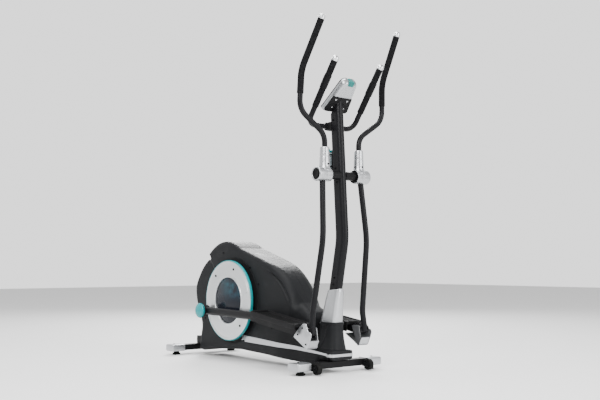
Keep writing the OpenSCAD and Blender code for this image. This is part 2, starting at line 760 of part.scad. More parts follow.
// Foam from the handle's second bend to its tip
grip_start = mix(handle_path[2], handle_path[3], 0.42);
grip_path = [grip_start, handle_path[3], handle_path[4] - 1 * unit(handle_path[4] - handle_path[3])];
grip_bends = [0, handle_bends[3], 0];

module grip() bent_rod(grip_path, grip_bends, grip_r, grip_r - handle_r - 0.1);

module grip_left() color("#1b1c1d") placed() grip();
module grip_right() color("#1b1c1d") placed() right() grip();

// Domed cap on a tube's end: a rim and part of a ball
module end_cap(tip, dir, r) translate(tip) rotate([0, acos(dir[2]), atan2(dir[1], dir[0])]) {
    cylinder(r = r, h = 4);
    translate([0, 0, 4]) intersection() {
        translate([0, 0, -4]) sphere(r = sqrt(r * r + 16));
        cylinder(r = r + 1, h = 20);
    }
}

handle_dir = unit(handle_path[4] - handle_path[3]);
module handle_cap_left() color("#d8dadb") placed() end_cap(handle_path[4], handle_dir, grip_r - 0.5);
module handle_cap_right() color("#d8dadb") placed() right() end_cap(handle_path[4], handle_dir, grip_r - 0.5);

// ---- Pedals ----

bar_path = [pin, bar_bend, [joint_x, joint_z]];

// One straight stretch of a pedal bar between two side points
module bar_stretch(a, b, width, height) translate([a[0], bar_y, a[1]])
    rotate([0, -atan2(b[1] - a[1], b[0] - a[0]), 0]) rotate([0, 90, 0]) linear_extrude(height = norm(b - a))
        oval(height, width);

module pedal_bar() {
    d = unit(bar_path[2] - bar_path[1]);
    front = bar_path[2] - 40 * d;
    difference() {
        union() {
            bar_stretch(bar_path[0], bar_path[1], bar_width, bar_height);
            bar_stretch(bar_path[1], front, bar_width, bar_height);
            pin_across(bar_bend, bar_height / 2, bar_y - 5, bar_y + 5);
            pin_across(pin, 24, bar_in - 6, bar_out + 6);
        }
        bar_stretch(bar_path[0], bar_path[1], bar_width - 5, bar_height - 5);
        bar_stretch(bar_path[1], front + d, bar_width - 5, bar_height - 5);
        pin_across(pin, pin_r, bar_in - 7, bar_out + 7);
    }
    // Bearing tube round the pin
    difference() {
        pin_across(pin, 22, bar_in - 5, bar_out + 5);
        pin_across(pin, pin_r, bar_in - 7, bar_out + 7);
    }
    // Two lugs that take the arm's joint pin
    for (y = [bar_in - lug, bar_out]) difference() {
        union() {
            pin_across([joint_x, joint_z], 20, y, y + lug);
            across(y, y + lug) polygon([bar_path[2] + [0, 20], bar_path[2] - 75 * d + [0, 16],
                bar_path[2] - 75 * d - [0, 16], bar_path[2] - [0, 20]]);
        }
        pin_across([joint_x, joint_z], joint_pin_r, y - 1, y + lug + 1);
    }
}

module pedal_bar_left() color("#2b2d2f") placed() pedal_bar();
module pedal_bar_right() color("#2b2d2f") placed() right() pedal_bar();

// The crank pin and the arm's joint pin with its heads
module pedal_pins() {
    pin_across(pin, pin_r, pin_in, bar_out + 14);
    pin_across([joint_x, joint_z], joint_pin_r, bar_in - lug - 5, bar_out + lug + 3);
    pin_across([joint_x, joint_z], 14, bar_in - lug - 5, bar_in - lug);
    pin_across([joint_x, joint_z], 13, bar_out + lug, bar_out + lug + 3);
}

module pedal_pins_left() color("#7c7f81") placed() pedal_pins();
module pedal_pins_right() color("#7c7f81") placed() right() pedal_pins();

// Domed cap over the end of the crank pin
module pin_cap() translate([pin[0], bar_out + 6 + still_gap, pin[1]]) rotate([-90, 0, 0]) difference() {
    rise = 14;
    side = 12;
    ball = (pin_cap_r * pin_cap_r + rise * rise) / (2 * rise);
    union() {
        cylinder(r = pin_cap_r, h = side);
        translate([0, 0, side]) intersection() {
            translate([0, 0, rise - ball]) sphere(r = ball, $fn = 100);
            cylinder(r = pin_cap_r, h = rise + 1);
        }
    }
    translate([0, 0, -1]) cylinder(r = pin_r + still_gap, h = 15);
}

module pin_cap_left() color("#2aa39a") placed() pin_cap();
module pin_cap_right() color("#2aa39a") placed() right() pin_cap();

// Footplate: a ribbed tray whose skirt hangs down on both sides of the bar
module footplate() translate([joint_x, bar_y, joint_z]) rotate([0, slope, 0]) translate([-foot_drop, 0, 0]) {
    floor_z = bar_height / 2 + still_gap;
    thick = 4;
    lip = 6;
    wall = 4;
    skirt = 13;
    half = foot_width / 2;
    translate([-foot_length, -half, floor_z]) cube([foot_length, foot_width, thick]);
    for (y = [-half, half - wall]) translate([-foot_length, y, floor_z - skirt - 22])
        cube([foot_length, wall, skirt + 22 + thick + lip]);
    for (x = [-foot_length, -wall]) translate([x, -half, floor_z]) cube([wall, foot_width, thick + lip]);
    for (i = [1:16]) translate([-foot_length + i * (foot_length - 14) / 17 + 4, -half + 10, floor_z + thick - 1])
        cube([6, foot_width - 20, 3]);
    for (y = [-bar_width / 2 - still_gap - 4, bar_width / 2 + still_gap]) translate([-foot_length + 30, y, 0])
        cube([foot_length - 90, 4, floor_z + 1]);
}

module footplate_left() color("#2b2d2f") placed() footplate();
module footplate_right() color("#2b2d2f") placed() right() footplate();

// Fan-shaped shell over the joint of arm and pedal bar, open upwards for the swinging arm
fan = [[-84, -22], [-76, -10], [-40, 26], [-14, 42], [8, 42], [12, 26], [20, 8], [38, 4], [44, -8], [34, -34],
       [18, -66], [8, -72]];
function fan_at(pts) = [for (p = pts) p + [joint_x, joint_z]];
cover_in = bar_out + lug + 3 + still_gap;
module joint_cover() {
    outer = cover_in + cover_wall;
    across(cover_in, outer) polygon(fan_at(fan));
    across(bar_in - lug - 6, cover_in + EPS) polygon(fan_at([[8, -72], [-84, -22], [-78, -18], [8, -67]]));
    across(bar_in - lug - 6, cover_in + EPS) polygon(fan_at([[8, -72], [18, -66], [34, -34], [30, -34], [14, -64],
        [8, -67]]));
    // Inner bracket plate behind the joint
    difference() {
        across(bar_in - lug - 8, bar_in - lug - 5 - still_gap)
            polygon(fan_at([[-84, -22], [-30, 22], [16, 24], [24, -30], [18, -66], [8, -72]]));
        pin_across([joint_x, joint_z], 16, 0, 200);
    }
}

module joint_cover_left() color("#c9cbcc") placed() joint_cover();
module joint_cover_right() color("#c9cbcc") placed() right() joint_cover();

// ---- Fixed handlebar ----

module fixed_handlebar() color("#2a2c2e") placed() bent_rod(fixed_path, fixed_bends, fixed_r, arm_wall);

module handlebar_clamp() color("#1b1c1d") placed() difference() {
    union() {
        translate([fixed_x, -26, bar_low_z - 21]) cube([fixed_r + saddle + 14, 52, 42]);
        translate([fixed_x, 26, bar_low_z]) rotate([90, 0, 0]) cylinder(r = 19, h = 52);
    }
    rod([fixed_x, -40, bar_low_z], [fixed_x, 40, bar_low_z], fixed_r);
    column_solid(0, rail_top);
}

// A sleeve on the fixed handlebar's left tube, between two distances below its tip
module fixed_sleeve(from, to, r) difference() {
    rod(fixed_top - to * fixed_dir, fixed_top - from * fixed_dir, r);
    rod(fixed_top - (to + 1) * fixed_dir, fixed_top - (from - 1) * fixed_dir, fixed_r + 0.1);
}

sensor_from = 75;
sensor_to = 147;
module fixed_grips() color("#1b1c1d") placed() both() {
    fixed_sleeve(0.5, sensor_from - 1, grip_r);
    fixed_sleeve(sensor_to + 1, 236, grip_r);
}

module pulse_sensors() color("#a9abad") placed() both() fixed_sleeve(sensor_from, sensor_to, grip_r + 1.5);

module handlebar_caps() color("#d8dadb") placed() both() end_cap(fixed_top, fixed_dir, grip_r - 0.5);

// ---- Console ----

// Children are drawn with z along the face, x from the face to the back
module console_frame() translate([console_x, 0, console_z]) rotate([0, console_tilt, 0]) children();

// Rounded outline of the console, moved in by d, as [y, z] points
function console_outline(d) = concat(
    arc([-console_low_w + 14, 14], 14 - d, 180, 270, 6), arc([console_low_w - 14, 14], 14 - d, 270, 360, 6),
    arc([console_high_w - 26, console_length - 26], 26 - d, 10, 90, 8),
    arc([26 - console_high_w, console_length - 26], 26 - d, 90, 170, 8));

// A console layer from x = a to x = b
module layer(a, b) translate([a, 0, 0]) rotate([90, 0, 90]) linear_extrude(height = b - a) children();

face = 7;
screen = [-34, 70, 68, 70];
button_r = 8;
button_spots = [[-20, 34], [20, 34]];

module console_front() color("#1b1c1d") placed() console_frame() difference() {
    layer(0, face) polygon(console_outline(0));
    layer(3, face + 1) polygon(console_outline(4));
    layer(-1, face + 1) translate([screen[0], screen[1]]) square([screen[2], screen[3]]);
    for (b = button_spots) translate([-1, b[0], b[1]]) rotate([0, 90, 0]) cylinder(r = button_r + still_gap, h = 20);
}

module console_screen() color("#20303a") placed() console_frame() layer(0.5, 2.8)
    translate([screen[0] + 0.1, screen[1] + 0.1]) square([screen[2] - 0.2, screen[3] - 0.2]);

module button(i) color("#9da0a2") placed() console_frame() translate([-3, button_spots[i][0], button_spots[i][1]])
    rotate([0, 90, 0]) cylinder(r = button_r, h = 8);
module mode_button() button(0);
module set_button() button(1);

shell_from_z = 82;
module console_back() color("#c9cbcc") placed() console_frame() {
    difference() {
        layer(face, plate_in) polygon(console_outline(0));
        layer(face - 1, plate_in + 1) polygon(console_outline(cover_wall));
    }
    // Deep upper half
    difference() {
        intersection() {
            layer(plate_in, console_thick) polygon(console_outline(2));
            translate([0, -100, shell_from_z]) cube([60, 200, 200]);
        }
        intersection() {
            layer(plate_in - 1, console_thick - cover_wall) polygon(console_outline(5));
            translate([0, -100, shell_from_z + cover_wall]) cube([60, 200, 200]);
        }
    }
    // Ledge below the face that holds a phone or a book
    translate([-14, -58, -7]) cube([30, 116, 7]);
    translate([-14, -58, -7]) cube([3, 116, 14]);
}

plate_screws = [[-34, 68], [34, 68]];
module console_plate() color("#1b1c1d") placed() console_frame() {
    layer(plate_in, plate_out) difference() {
        polygon(console_outline(2));
        translate([-100, shell_from_z - still_gap]) square([200, 200]);
    }
    for (p = plate_screws) translate([plate_out, p[0], p[1]]) rotate([0, 90, 0]) cylinder(r = 4, h = 1.5);
}

// ---- Bottle ----

cage_rod = 2.5;
module cage_ring(z) translate([bottle_x, 0, z]) rotate_extrude() translate([bottle_r + cage_rod + 1, 0])
    circle(r = cage_rod);

module bottle_cage() color("#1b1c1d") placed() difference() {
    union() {
        cage_ring(bottle_z + 22);
        cage_ring(bottle_z + 76);
        for (a = [45, 135, 225, 315]) translate([bottle_x, 0, 0]) rotate([0, 0, a])
            translate([bottle_r + cage_rod + 1, 0, bottle_z - 4]) cylinder(r = cage_rod - 0.5, h = 80);
        translate([bottle_x, 0, bottle_z - 6]) cylinder(r = bottle_r + 6, h = 5);
        translate([bottle_x + bottle_r + 2, -9, bottle_z - 5]) cube([16, 18, 96]);
    }
    translate([bottle_x, 0, bottle_z - 1]) cylinder(r = bottle_r + 0.7, h = 200);
    column_solid(0, rail_top);
}

module bottle() color("#8b9296") placed() translate([bottle_x, 0, bottle_z - 0.7]) {
    cylinder(r = bottle_r, h = bottle_h - 34);
    translate([0, 0, bottle_h - 34]) cylinder(r1 = bottle_r, r2 = 20, h = 14);
    translate([0, 0, bottle_h - 20]) cylinder(r = 20, h = 20);
}

base_frame();
crank_bearings();
front_stabilizer();
rear_stabilizer();
stabilizer_caps();
foot_pads();
wheel_forks();
wheel_right();
wheel_left();
column();
column_cover();
front_cover();
shroud_right();
shroud_left();
trim_strip();
cover_screws();
flywheel_axle();
flywheel();
brake_arm();
drive_belt();
crank_axle();
drive_pulley();
crank_discs();
disc_rims();
disc_domes();
pivot_axle();
axle_plugs();
lower_arm_right();
lower_arm_left();
tee_cover_right();
tee_cover_left();
handle_right();
handle_left();
grip_right();
grip_left();
handle_cap_right();
handle_cap_left();
pedal_bar_right();
pedal_bar_left();
pedal_pins_right();
pedal_pins_left();
pin_cap_right();
pin_cap_left();
footplate_right();
footplate_left();
joint_cover_right();
joint_cover_left();
fixed_handlebar();
handlebar_clamp();
fixed_grips();
pulse_sensors();
handlebar_caps();
console_plate();
console_back();
console_front();
console_screen();
mode_button();
set_button();
bottle_cage();
bottle();
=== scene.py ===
"""Looks of an elliptical trainer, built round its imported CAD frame. Metres, +X forward, +Z up."""

import json
import math

import bmesh
import bpy
import numpy as np
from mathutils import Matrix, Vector, geometry


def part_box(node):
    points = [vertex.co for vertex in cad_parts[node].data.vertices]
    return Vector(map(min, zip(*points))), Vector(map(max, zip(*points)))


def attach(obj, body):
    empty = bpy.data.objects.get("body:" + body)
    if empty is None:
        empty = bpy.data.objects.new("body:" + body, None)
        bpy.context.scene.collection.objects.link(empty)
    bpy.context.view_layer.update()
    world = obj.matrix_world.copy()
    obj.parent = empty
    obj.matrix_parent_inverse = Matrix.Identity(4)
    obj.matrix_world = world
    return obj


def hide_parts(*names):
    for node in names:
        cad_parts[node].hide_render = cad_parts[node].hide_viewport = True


bl_info = {
    "name": "Elliptical trainer looks",
    "version": (1, 0, 0),
    "blender": (4, 5, 0),
    "location": "3D View > Sidebar > Trainer",
    "description": "Builds the covers, tubes, grips and finishes of an elliptical trainer",
    "category": "Object",
}

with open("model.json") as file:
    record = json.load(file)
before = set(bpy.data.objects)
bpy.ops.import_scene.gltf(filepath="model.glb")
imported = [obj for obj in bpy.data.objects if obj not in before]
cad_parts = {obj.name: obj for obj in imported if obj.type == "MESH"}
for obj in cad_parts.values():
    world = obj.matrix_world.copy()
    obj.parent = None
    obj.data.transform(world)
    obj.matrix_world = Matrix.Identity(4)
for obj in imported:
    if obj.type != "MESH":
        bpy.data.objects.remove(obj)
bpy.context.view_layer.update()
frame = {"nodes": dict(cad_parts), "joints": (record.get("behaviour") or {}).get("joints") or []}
NODES = frame["nodes"]
JOINTS = {j["name"]: j for j in frame["joints"]}
SIDES = {"left": 1, "right": -1}


def pivot(joint):
    """Place of a joint as an array."""
    return np.array(JOINTS[joint]["pos_m"], float)


def middle(node):
    """Middle of a CAD node's box."""
    low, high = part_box(node)
    return (np.array(low) + np.array(high)) / 2


# ---- Driving places, worked out from the frame ----

CRANK = pivot("crank_spin")
TEE = pivot("left_arm_swing")
EYE = pivot("left_bar_tilt")
PIN = middle("pin_cap_left")
FRONT_AXIS = (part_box("front_stabilizer")[0][0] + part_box("front_stabilizer")[1][0]) / 2
REAR_AXIS = (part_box("rear_stabilizer")[0][0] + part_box("rear_stabilizer")[1][0]) / 2
STAB_Z = middle("front_stabilizer")[2]
DISC_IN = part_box("crank_discs")[1][1] - 0.022
SHELL_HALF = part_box("shroud_left")[1][1]
NOSE_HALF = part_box("trim_strip")[1][1] - 0.021
SLOPE = math.radians(7.8)
CONSOLE_TILT = math.radians(44)
CONSOLE = np.array([FRONT_AXIS - 0.024, 0.0, 1.210])
LEAN_LOW = math.radians(11.6)
LEAN_HIGH = math.radians(3.5)
COLUMN_FOOT = np.array([FRONT_AXIS - 0.056, 0.093])
COLUMN_BEND_Z = 0.600


def column_x(z):
    """X of the column's middle at a height: two straight stretches that lean forward, then back."""
    bend = COLUMN_FOOT[0] + (COLUMN_BEND_Z - COLUMN_FOOT[1]) * math.tan(LEAN_LOW)
    low = COLUMN_FOOT[0] + (z - COLUMN_FOOT[1]) * math.tan(LEAN_LOW)
    high = bend - (z - COLUMN_BEND_Z) * math.tan(LEAN_HIGH)
    return np.where(z < COLUMN_BEND_Z, low, high)


# ---- Surfaces ----


def smooth_step(a, b, x):
    """0 below a and 1 above b, with t * t * (3 - 2 t) between."""
    t = np.clip((x - a) / (b - a), 0, 1)
    return t * t * (3 - 2 * t)


def tidy_mesh(obj, angle=35):
    """Merges doubles, turns the faces outwards and shades smooth up to an edge angle."""
    b = bmesh.new()
    b.from_mesh(obj.data)
    bmesh.ops.remove_doubles(b, verts=b.verts, dist=1e-6)
    bmesh.ops.dissolve_degenerate(b, edges=b.edges, dist=1e-7)
    bmesh.ops.recalc_face_normals(b, faces=b.faces)
    b.to_mesh(obj.data)
    b.free()
    obj.data.shade_smooth()
    obj.data.set_sharp_from_angle(angle=math.radians(angle))


def piece(name, parts, finish, body, replaces=(), angle=35):
    """One finished piece from a list of (points, faces) parts, riding on a body."""
    points, faces, start = [], [], 0
    for p, f in parts:
        points.append(p)
        faces += [[start + i for i in face] for face in f]
        start += len(p)
    mesh = bpy.data.meshes.new(name)
    mesh.from_pydata(np.concatenate(points).tolist(), [], faces)
    obj = bpy.data.objects.new(name, mesh)
    bpy.context.scene.collection.objects.link(obj)
    tidy_mesh(obj, angle)
    obj.data.materials.append(FINISHES[finish]())
    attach(obj, body)
    if replaces:
        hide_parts(*replaces)
    return obj


def grid(P, ring=True, loop=False):
    """Faces of an (m, n, 3) grid of points. ring closes the second parameter, loop the first."""
    m, n = P.shape[:2]
    i = np.arange(m if loop else m - 1)[:, None]
    j = np.arange(n if ring else n - 1)[None, :]
    a, b = i * n + j, i * n + (j + 1) % n
    c, d = ((i + 1) % m) * n + (j + 1) % n, ((i + 1) % m) * n + j
    return P.reshape(-1, 3), np.stack(np.broadcast_arrays(a, b, c, d), -1).reshape(-1, 4).tolist()


def capped(P):
    """A ringed grid whose first and last rings are closed by flat faces."""
    m, n = P.shape[:2]
    points, faces = grid(P)
    return points, faces + [list(range(n))[::-1], list(range((m - 1) * n, m * n))]


def lathe(profile, centre, axis, steps=96):
    """A profile of (radius, distance along the axis) turned round an axis through a centre.
    Point = centre + axis * t + r * (u cos a + v sin a)."""
    axis = np.array(axis, float) / np.linalg.norm(axis)
    u = np.cross(axis, [0.0, 0.0, 1.0] if abs(axis[2]) < 0.9 else [1.0, 0.0, 0.0])
    u /= np.linalg.norm(u)
    v = np.cross(axis, u)
    a = np.linspace(0, 2 * math.pi, steps, endpoint=False)
    around = np.cos(a)[:, None] * u + np.sin(a)[:, None] * v
    r, t = np.array(profile, float).T
    P = np.array(centre) + t[:, None, None] * axis + r[:, None, None] * around[None]
    return grid(P)


def round_profile(points, radius, steps=4):
    """A profile with its corners rounded: a quadratic curve between the two cut points of each corner."""
    p = np.array(points, float)
    out = [p[:1]]
    for a, b, c in zip(p[:-2], p[1:-1], p[2:]):
        cut = min(radius, np.linalg.norm(a - b) / 2.05, np.linalg.norm(c - b) / 2.05)
        s = b + (a - b) / max(np.linalg.norm(a - b), 1e-9) * cut
        e = b + (c - b) / max(np.linalg.norm(c - b), 1e-9) * cut
        t = np.linspace(0, 1, steps + 1)[:, None]
        out.append((1 - t) ** 2 * s + 2 * t * (1 - t) * b + t * t * e)
    return np.concatenate(out + [p[-1:]])


def path_frames(path):
    """Tangents and two side directions along a path, carried from point to point without twist."""
    path = np.array(path, float)
    tangents = np.gradient(path, axis=0)
    tangents /= np.linalg.norm(tangents, axis=1)[:, None]
    side = np.cross(tangents[0], [0.3, 0.9, 0.31])
    sides = []
    for t in tangents:
        side = side - t * (side @ t)
        side /= np.linalg.norm(side)
        sides.append(side)
    sides = np.array(sides)
    return path, tangents, sides, np.cross(tangents, sides)


def tube(path, radius, steps=28):
    """A closed round bar along a path. radius is one number or one per point."""
    path, _, u, v = path_frames(path)
    r = np.broadcast_to(np.array(radius, float), (len(path),))
    a = np.linspace(0, 2 * math.pi, steps, endpoint=False)
    ring = np.cos(a)[None, :, None] * u[:, None] + np.sin(a)[None, :, None] * v[:, None]
    return capped(path[:, None] + r[:, None, None] * ring)


def loft(sections):
    """Flat superellipse rings from (centre, x direction, y direction, a, b, power) rows, closed at both ends.
    Point = centre + a * sgn(cos) |cos|^(2/p) * x + b * sgn(sin) |sin|^(2/p) * y."""
    t = np.linspace(0, 2 * math.pi, 72, endpoint=False)
    rows = []
    for c, x, y, a, b, p in sections:
        cu = np.sign(np.cos(t)) * np.abs(np.cos(t)) ** (2 / p)
        sv = np.sign(np.sin(t)) * np.abs(np.sin(t)) ** (2 / p)
        rows.append(np.array(c) + a * cu[:, None] * np.array(x) + b * sv[:, None] * np.array(y))
    return capped(np.array(rows))


def resample(outline, step):
    """A closed outline with points about a step apart."""
    p = np.array(outline, float)
    q = np.roll(p, -1, axis=0)
    out = []
    for a, b in zip(p, q):
        n = max(1, int(round(np.linalg.norm(b - a) / step)))
        out.append(a + (b - a) * np.linspace(0, 1, n, endpoint=False)[:, None])
    return np.concatenate(out)


def edge_distance(points, outline):
    """Distance from each point to the nearest stretch of a closed outline."""
    a, b = outline, np.roll(outline, -1, axis=0)
    best = np.full(len(points), np.inf)
    for lo in range(0, len(points), 4000):
        p = points[lo : lo + 4000, None]
        d = (b - a)[None]
        t = np.clip(((p - a) * d).sum(-1) / np.maximum((d * d).sum(-1), 1e-12), 0, 1)
        best[lo : lo + 4000] = np.linalg.norm(p - (a + t[..., None] * d), axis=-1).min(1)
    return best


def relief(outline, step, depths, height, base, place):
    """A closed plate over an anticlockwise outline. Its face is at height(u, v, d), d being the distance
    in from the outline, its back is flat at base, and place(u, v, w) puts a point into space."""
    edge = resample(outline, step)
    along = np.roll(edge, -1, axis=0) - np.roll(edge, 1, axis=0)
    inward = np.stack([-along[:, 1], along[:, 0]], -1) / np.linalg.norm(along, axis=1)[:, None]
    rings = np.concatenate([edge + inward * d for d in depths])
    room = edge_distance(rings, edge)
    rings = rings[room > 0.93 * np.repeat(depths, len(edge))]
    low, high = edge.min(0), edge.max(0)
    pitch = step * 1.3
    u, v = np.meshgrid(np.arange(low[0], high[0], pitch), np.arange(low[1], high[1], pitch))
    fill = np.stack([u.ravel(), v.ravel()], -1)
    fill = fill[edge_distance(fill, edge) > depths[-1] + step * 0.7]
    points = np.concatenate([edge, rings, fill])
    loop = [(i, (i + 1) % len(edge)) for i in range(len(edge))]
    verts, _, faces, *_ = geometry.delaunay_2d_cdt([Vector(p) for p in points], loop, [], 1, 1e-7)
    flat = np.array([tuple(v) for v in verts])
    w = height(flat[:, 0], flat[:, 1], edge_distance(flat, edge))
    face_points = np.array(place(flat[:, 0], flat[:, 1], w)).T
    back = np.array(place(edge[:, 0], edge[:, 1], np.full(len(edge), base))).T
    top = np.array(place(edge[:, 0], edge[:, 1], height(edge[:, 0], edge[:, 1], np.zeros(len(edge))))).T
    levels = np.linspace(0, 1, 4)[:, None, None]
    wall = grid((back * (1 - levels) + top * levels))
    under = (back, [list(range(len(edge)))])
    return [(face_points, [list(f) for f in faces]), wall, under]


def rounded(radius):
    """Height lost near an edge that is rounded as a quarter circle: r - sqrt(r^2 - (r - d)^2)."""
    return lambda d: radius - np.sqrt(np.maximum(radius**2 - np.clip(radius - d, 0, radius) ** 2, 0))


def bezier(a, b, c, d, n):
    """Points of a cubic curve."""
    t = np.linspace(0, 1, n + 1)[:, None]
    a, b, c, d = (np.array(p, float) for p in (a, b, c, d))
    return (1 - t) ** 3 * a + 3 * t * (1 - t) ** 2 * b + 3 * t * t * (1 - t) * c + t**3 * d


def arc(centre, radius, start, end, n):
    """Points of an arc between two angles in degrees."""
    a = np.radians(np.linspace(start, end, n + 1))
    return np.array(centre) + radius * np.stack([np.cos(a), np.sin(a)], -1)


def side_plate(side):
    """Places (u, v, w) as x, z and the distance out from the symmetry plane on one side."""
    return lambda u, v, w: (u, side * w, v)


# ---- Finishes ----


class Value:
    """A number socket that takes part in Python sums; each operator adds its Math node."""

    def __init__(self, paint, socket):
        """Keeps the socket and the paint that owns it."""
        self.paint, self.socket = paint, socket

    def maths(self, operation, *others):
        """Adds a Math node on this value and the others."""
        values = {i: o for i, o in enumerate((self, *others))}
        return self.paint.node("ShaderNodeMath", {"operation": operation}, values).value()

    def __add__(self, o):
        """Sum, as a Math node."""
        return self.maths("ADD", o)

    def __sub__(self, o):
        """Difference, as a Math node."""
        return self.maths("SUBTRACT", o)

    def __rsub__(self, o):
        """A number less this value."""
        return Value.maths(self.paint.number(o), "SUBTRACT", self)

    def __mul__(self, o):
        """Product, as a Math node."""
        return self.maths("MULTIPLY", o)

    __radd__ = __add__
    __rmul__ = __mul__

    def clamp(self):
        """This value, kept between 0 and 1."""
        return self.paint.node("ShaderNodeClamp", {}, {0: self}).value()

    def ramp(self, low, high, to_low=0.0, to_high=1.0):
        """Smooth rise from to_low at low to to_high at high."""
        settings = {"interpolation_type": "SMOOTHSTEP"}
        return self.paint.node("ShaderNodeMapRange", settings,
                               {0: self, 1: low, 2: high, 3: to_low, 4: to_high}).value()


class Made:
    """A node that has been added, with short names for what leaves it."""

    def __init__(self, paint, node):
        """Keeps the node and the paint that owns it."""
        self.paint, self.node = paint, node

    def out(self, key=0):
        """One of the node's output sockets."""
        return self.node.outputs[key]

    def value(self, key=0):
        """One of the node's outputs as a Value."""
        return Value(self.paint, self.node.outputs[key])


class Paint:
    """One material's node tree with its principled shader."""

    def __init__(self, name):
        """Starts a material with a principled shader and Object coordinates."""
        self.material = bpy.data.materials.new(name)
        self.material.use_nodes = True
        self.tree = self.material.node_tree
        self.tree.nodes.clear()
        output = self.tree.nodes.new("ShaderNodeOutputMaterial")
        self.shader = self.tree.nodes.new("ShaderNodeBsdfPrincipled")
        self.tree.links.new(self.shader.outputs[0], output.inputs[0])
        self.place = self.node("ShaderNodeTexCoord", {}, {}).out("Object")

    def node(self, kind, settings, values):
        """Adds a node, applies its settings, then fills its sockets with values or links."""
        n = self.tree.nodes.new(kind)
        for key, v in settings.items():
            if key == "stops":
                while len(n.color_ramp.elements) < len(v):
                    n.color_ramp.elements.new(0.5)
                for element, (at, colour) in zip(n.color_ramp.elements, v):
                    element.position, element.color = at, (*colour, 1.0)
            else:
                setattr(n, key, v)
        for key, v in values.items():
            self.fill(n.inputs[key], v)
        return Made(self, n)

    def fill(self, socket, v):
        """Puts a number, a colour or a link into a socket."""
        if isinstance(v, Value):
            v = v.socket
        if isinstance(v, bpy.types.NodeSocket):
            self.tree.links.new(v, socket)
        elif isinstance(v, (tuple, list)) and len(v) == 3 and socket.type == "RGBA":
            socket.default_value = (*v, 1.0)
        else:
            socket.default_value = v

    def number(self, v):
        """A plain number as a Value."""
        return self.node("ShaderNodeMath", {"operation": "ADD"}, {0: float(v), 1: 0.0}).value()

    def stretched(self, scale):
        """Object coordinates times three factors."""
        return self.node("ShaderNodeMapping", {}, {"Vector": self.place, "Scale": scale}).out()

    def noise(self, scale, detail=2.0, roughness=0.5, where=None):
        """Noise of a scale, from 0 to 1."""
        values = {"Vector": where or self.place, "Scale": scale, "Detail": detail, "Roughness": roughness}
        return self.node("ShaderNodeTexNoise", {}, values).value("Fac")

    def cells(self, scale, where=None):
        """Distance to the nearest of scattered points."""
        return self.node("ShaderNodeTexVoronoi", {},
                         {"Vector": where or self.place, "Scale": scale}).value("Distance")

    def mix(self, factor, a, b):
        """Colour that goes from a to b."""
        n = self.tree.nodes.new("ShaderNodeMix")
        n.data_type = "RGBA"
        self.fill(n.inputs[0], factor)
        self.fill(n.inputs[6], a)
        self.fill(n.inputs[7], b)
        return n.outputs[2]

    def set(self, **values):
        """Sets the shader's sockets, named with underscores for spaces."""
        for key, v in values.items():
            self.fill(self.shader.inputs[key.replace("_", " ")], v)
        return self

    def bump(self, height, distance, strength=1.0):
        """Bends the shader's normal by a height that stands for a distance."""
        n = self.node("ShaderNodeBump", {}, {"Height": height, "Distance": distance, "Strength": strength})
        return self.set(Normal=n.out())


def darker(colour, k):
    """A colour scaled by k."""
    return tuple(c * k for c in colour)


def powder_coat(name, colour, roughness):
    """Powder-coated steel: fine orange peel, slight dust in patches."""
    p = Paint(name)
    patches, peel = p.noise(9, 4), p.noise(650, 2, 0.6)
    dust = patches.ramp(0.45, 0.8) * 0.35
    p.set(Base_Color=p.mix(dust, colour, darker(colour, 1.7)), Specular_IOR_Level=0.11)
    p.set(Roughness=peel * 0.1 + patches * 0.12 + (roughness - 0.11))
    return p.bump(peel, 0.00025, 0.5).material


def grained_plastic(name, colour, roughness):
    """Moulded plastic with a spark-eroded grain and soft handling marks."""
    p = Paint(name)
    grain, cells, marks = p.noise(1400, 3, 0.7), p.cells(900), p.noise(14, 5, 0.6)
    handled = marks.ramp(0.5, 0.75)
    p.set(Base_Color=p.mix(handled * 0.4, colour, darker(colour, 1.5)), Specular_IOR_Level=0.09)
    p.set(Roughness=grain * 0.12 - handled * 0.08 + roughness)
    return p.bump(grain * 0.6 + cells * 0.4, 0.0003, 0.55).material


def silver_paint(name, colour):
    """Silver-painted plastic with fine flake and faint scuffs."""
    p = Paint(name)
    flake, scuffs = p.cells(2600), p.noise(60, 6, 0.7, p.stretched((1.0, 1.0, 0.25)))
    scuffed = scuffs.ramp(0.62, 0.8)
    p.set(Base_Color=p.mix(flake * 0.2, colour, darker(colour, 0.85)), Metallic=0.9, Coat_Weight=0.1)
    p.set(Roughness=flake * 0.06 + scuffed * 0.1 + 0.3, Coat_Roughness=0.2)
    return p.bump(flake, 0.00004, 0.12).material


def gloss_colour(name, colour):
    """Glossy coloured plastic with a faint swirl and dust."""
    p = Paint(name)
    swirl, dust = p.noise(25, 3), p.noise(300, 4, 0.7)
    p.set(Base_Color=p.mix(swirl * 0.35, colour, darker(colour, 0.72)), Coat_Weight=0.12,
          Coat_Roughness=0.08)
    p.set(Specular_IOR_Level=0.25)
    p.set(Roughness=dust.ramp(0.5, 0.8) * 0.15 + 0.2)
    return p.bump(dust, 0.00006, 0.3).material


def dome_painted_reflection():
    """Smoked gloss dome with a painted reflection: a cloud of blue and sea green over its upper front part.
    """
    p = Paint("smoked dome")
    parts = p.node("ShaderNodeSeparateXYZ", {}, {0: p.place})
    # Painted reflection: the cloud is masked to the dome's upper front part, where the surroundings reflect.
    height = parts.value("Z").ramp(CRANK[2] - 0.02, CRANK[2] + 0.10)
    forward = parts.value("X").ramp(CRANK[0] - 0.11, CRANK[0] + 0.06)
    cloud = p.noise(16, 4, 0.62)
    reflection_mask = (height * forward * cloud.ramp(0.36, 0.66)).clamp()
    reflection_hue = p.mix(p.noise(7, 1), CRANK_LOOK.dome_reflection_blue, CRANK_LOOK.dome_reflection_green)
    p.set(Base_Color=p.mix(reflection_mask, (0.010, 0.012, 0.018), reflection_hue), Coat_Weight=0.1, Coat_Roughness=0.06,
          Specular_IOR_Level=0.12)
    p.set(Roughness=p.noise(240, 3) * 0.08 + 0.16)
    return p.material


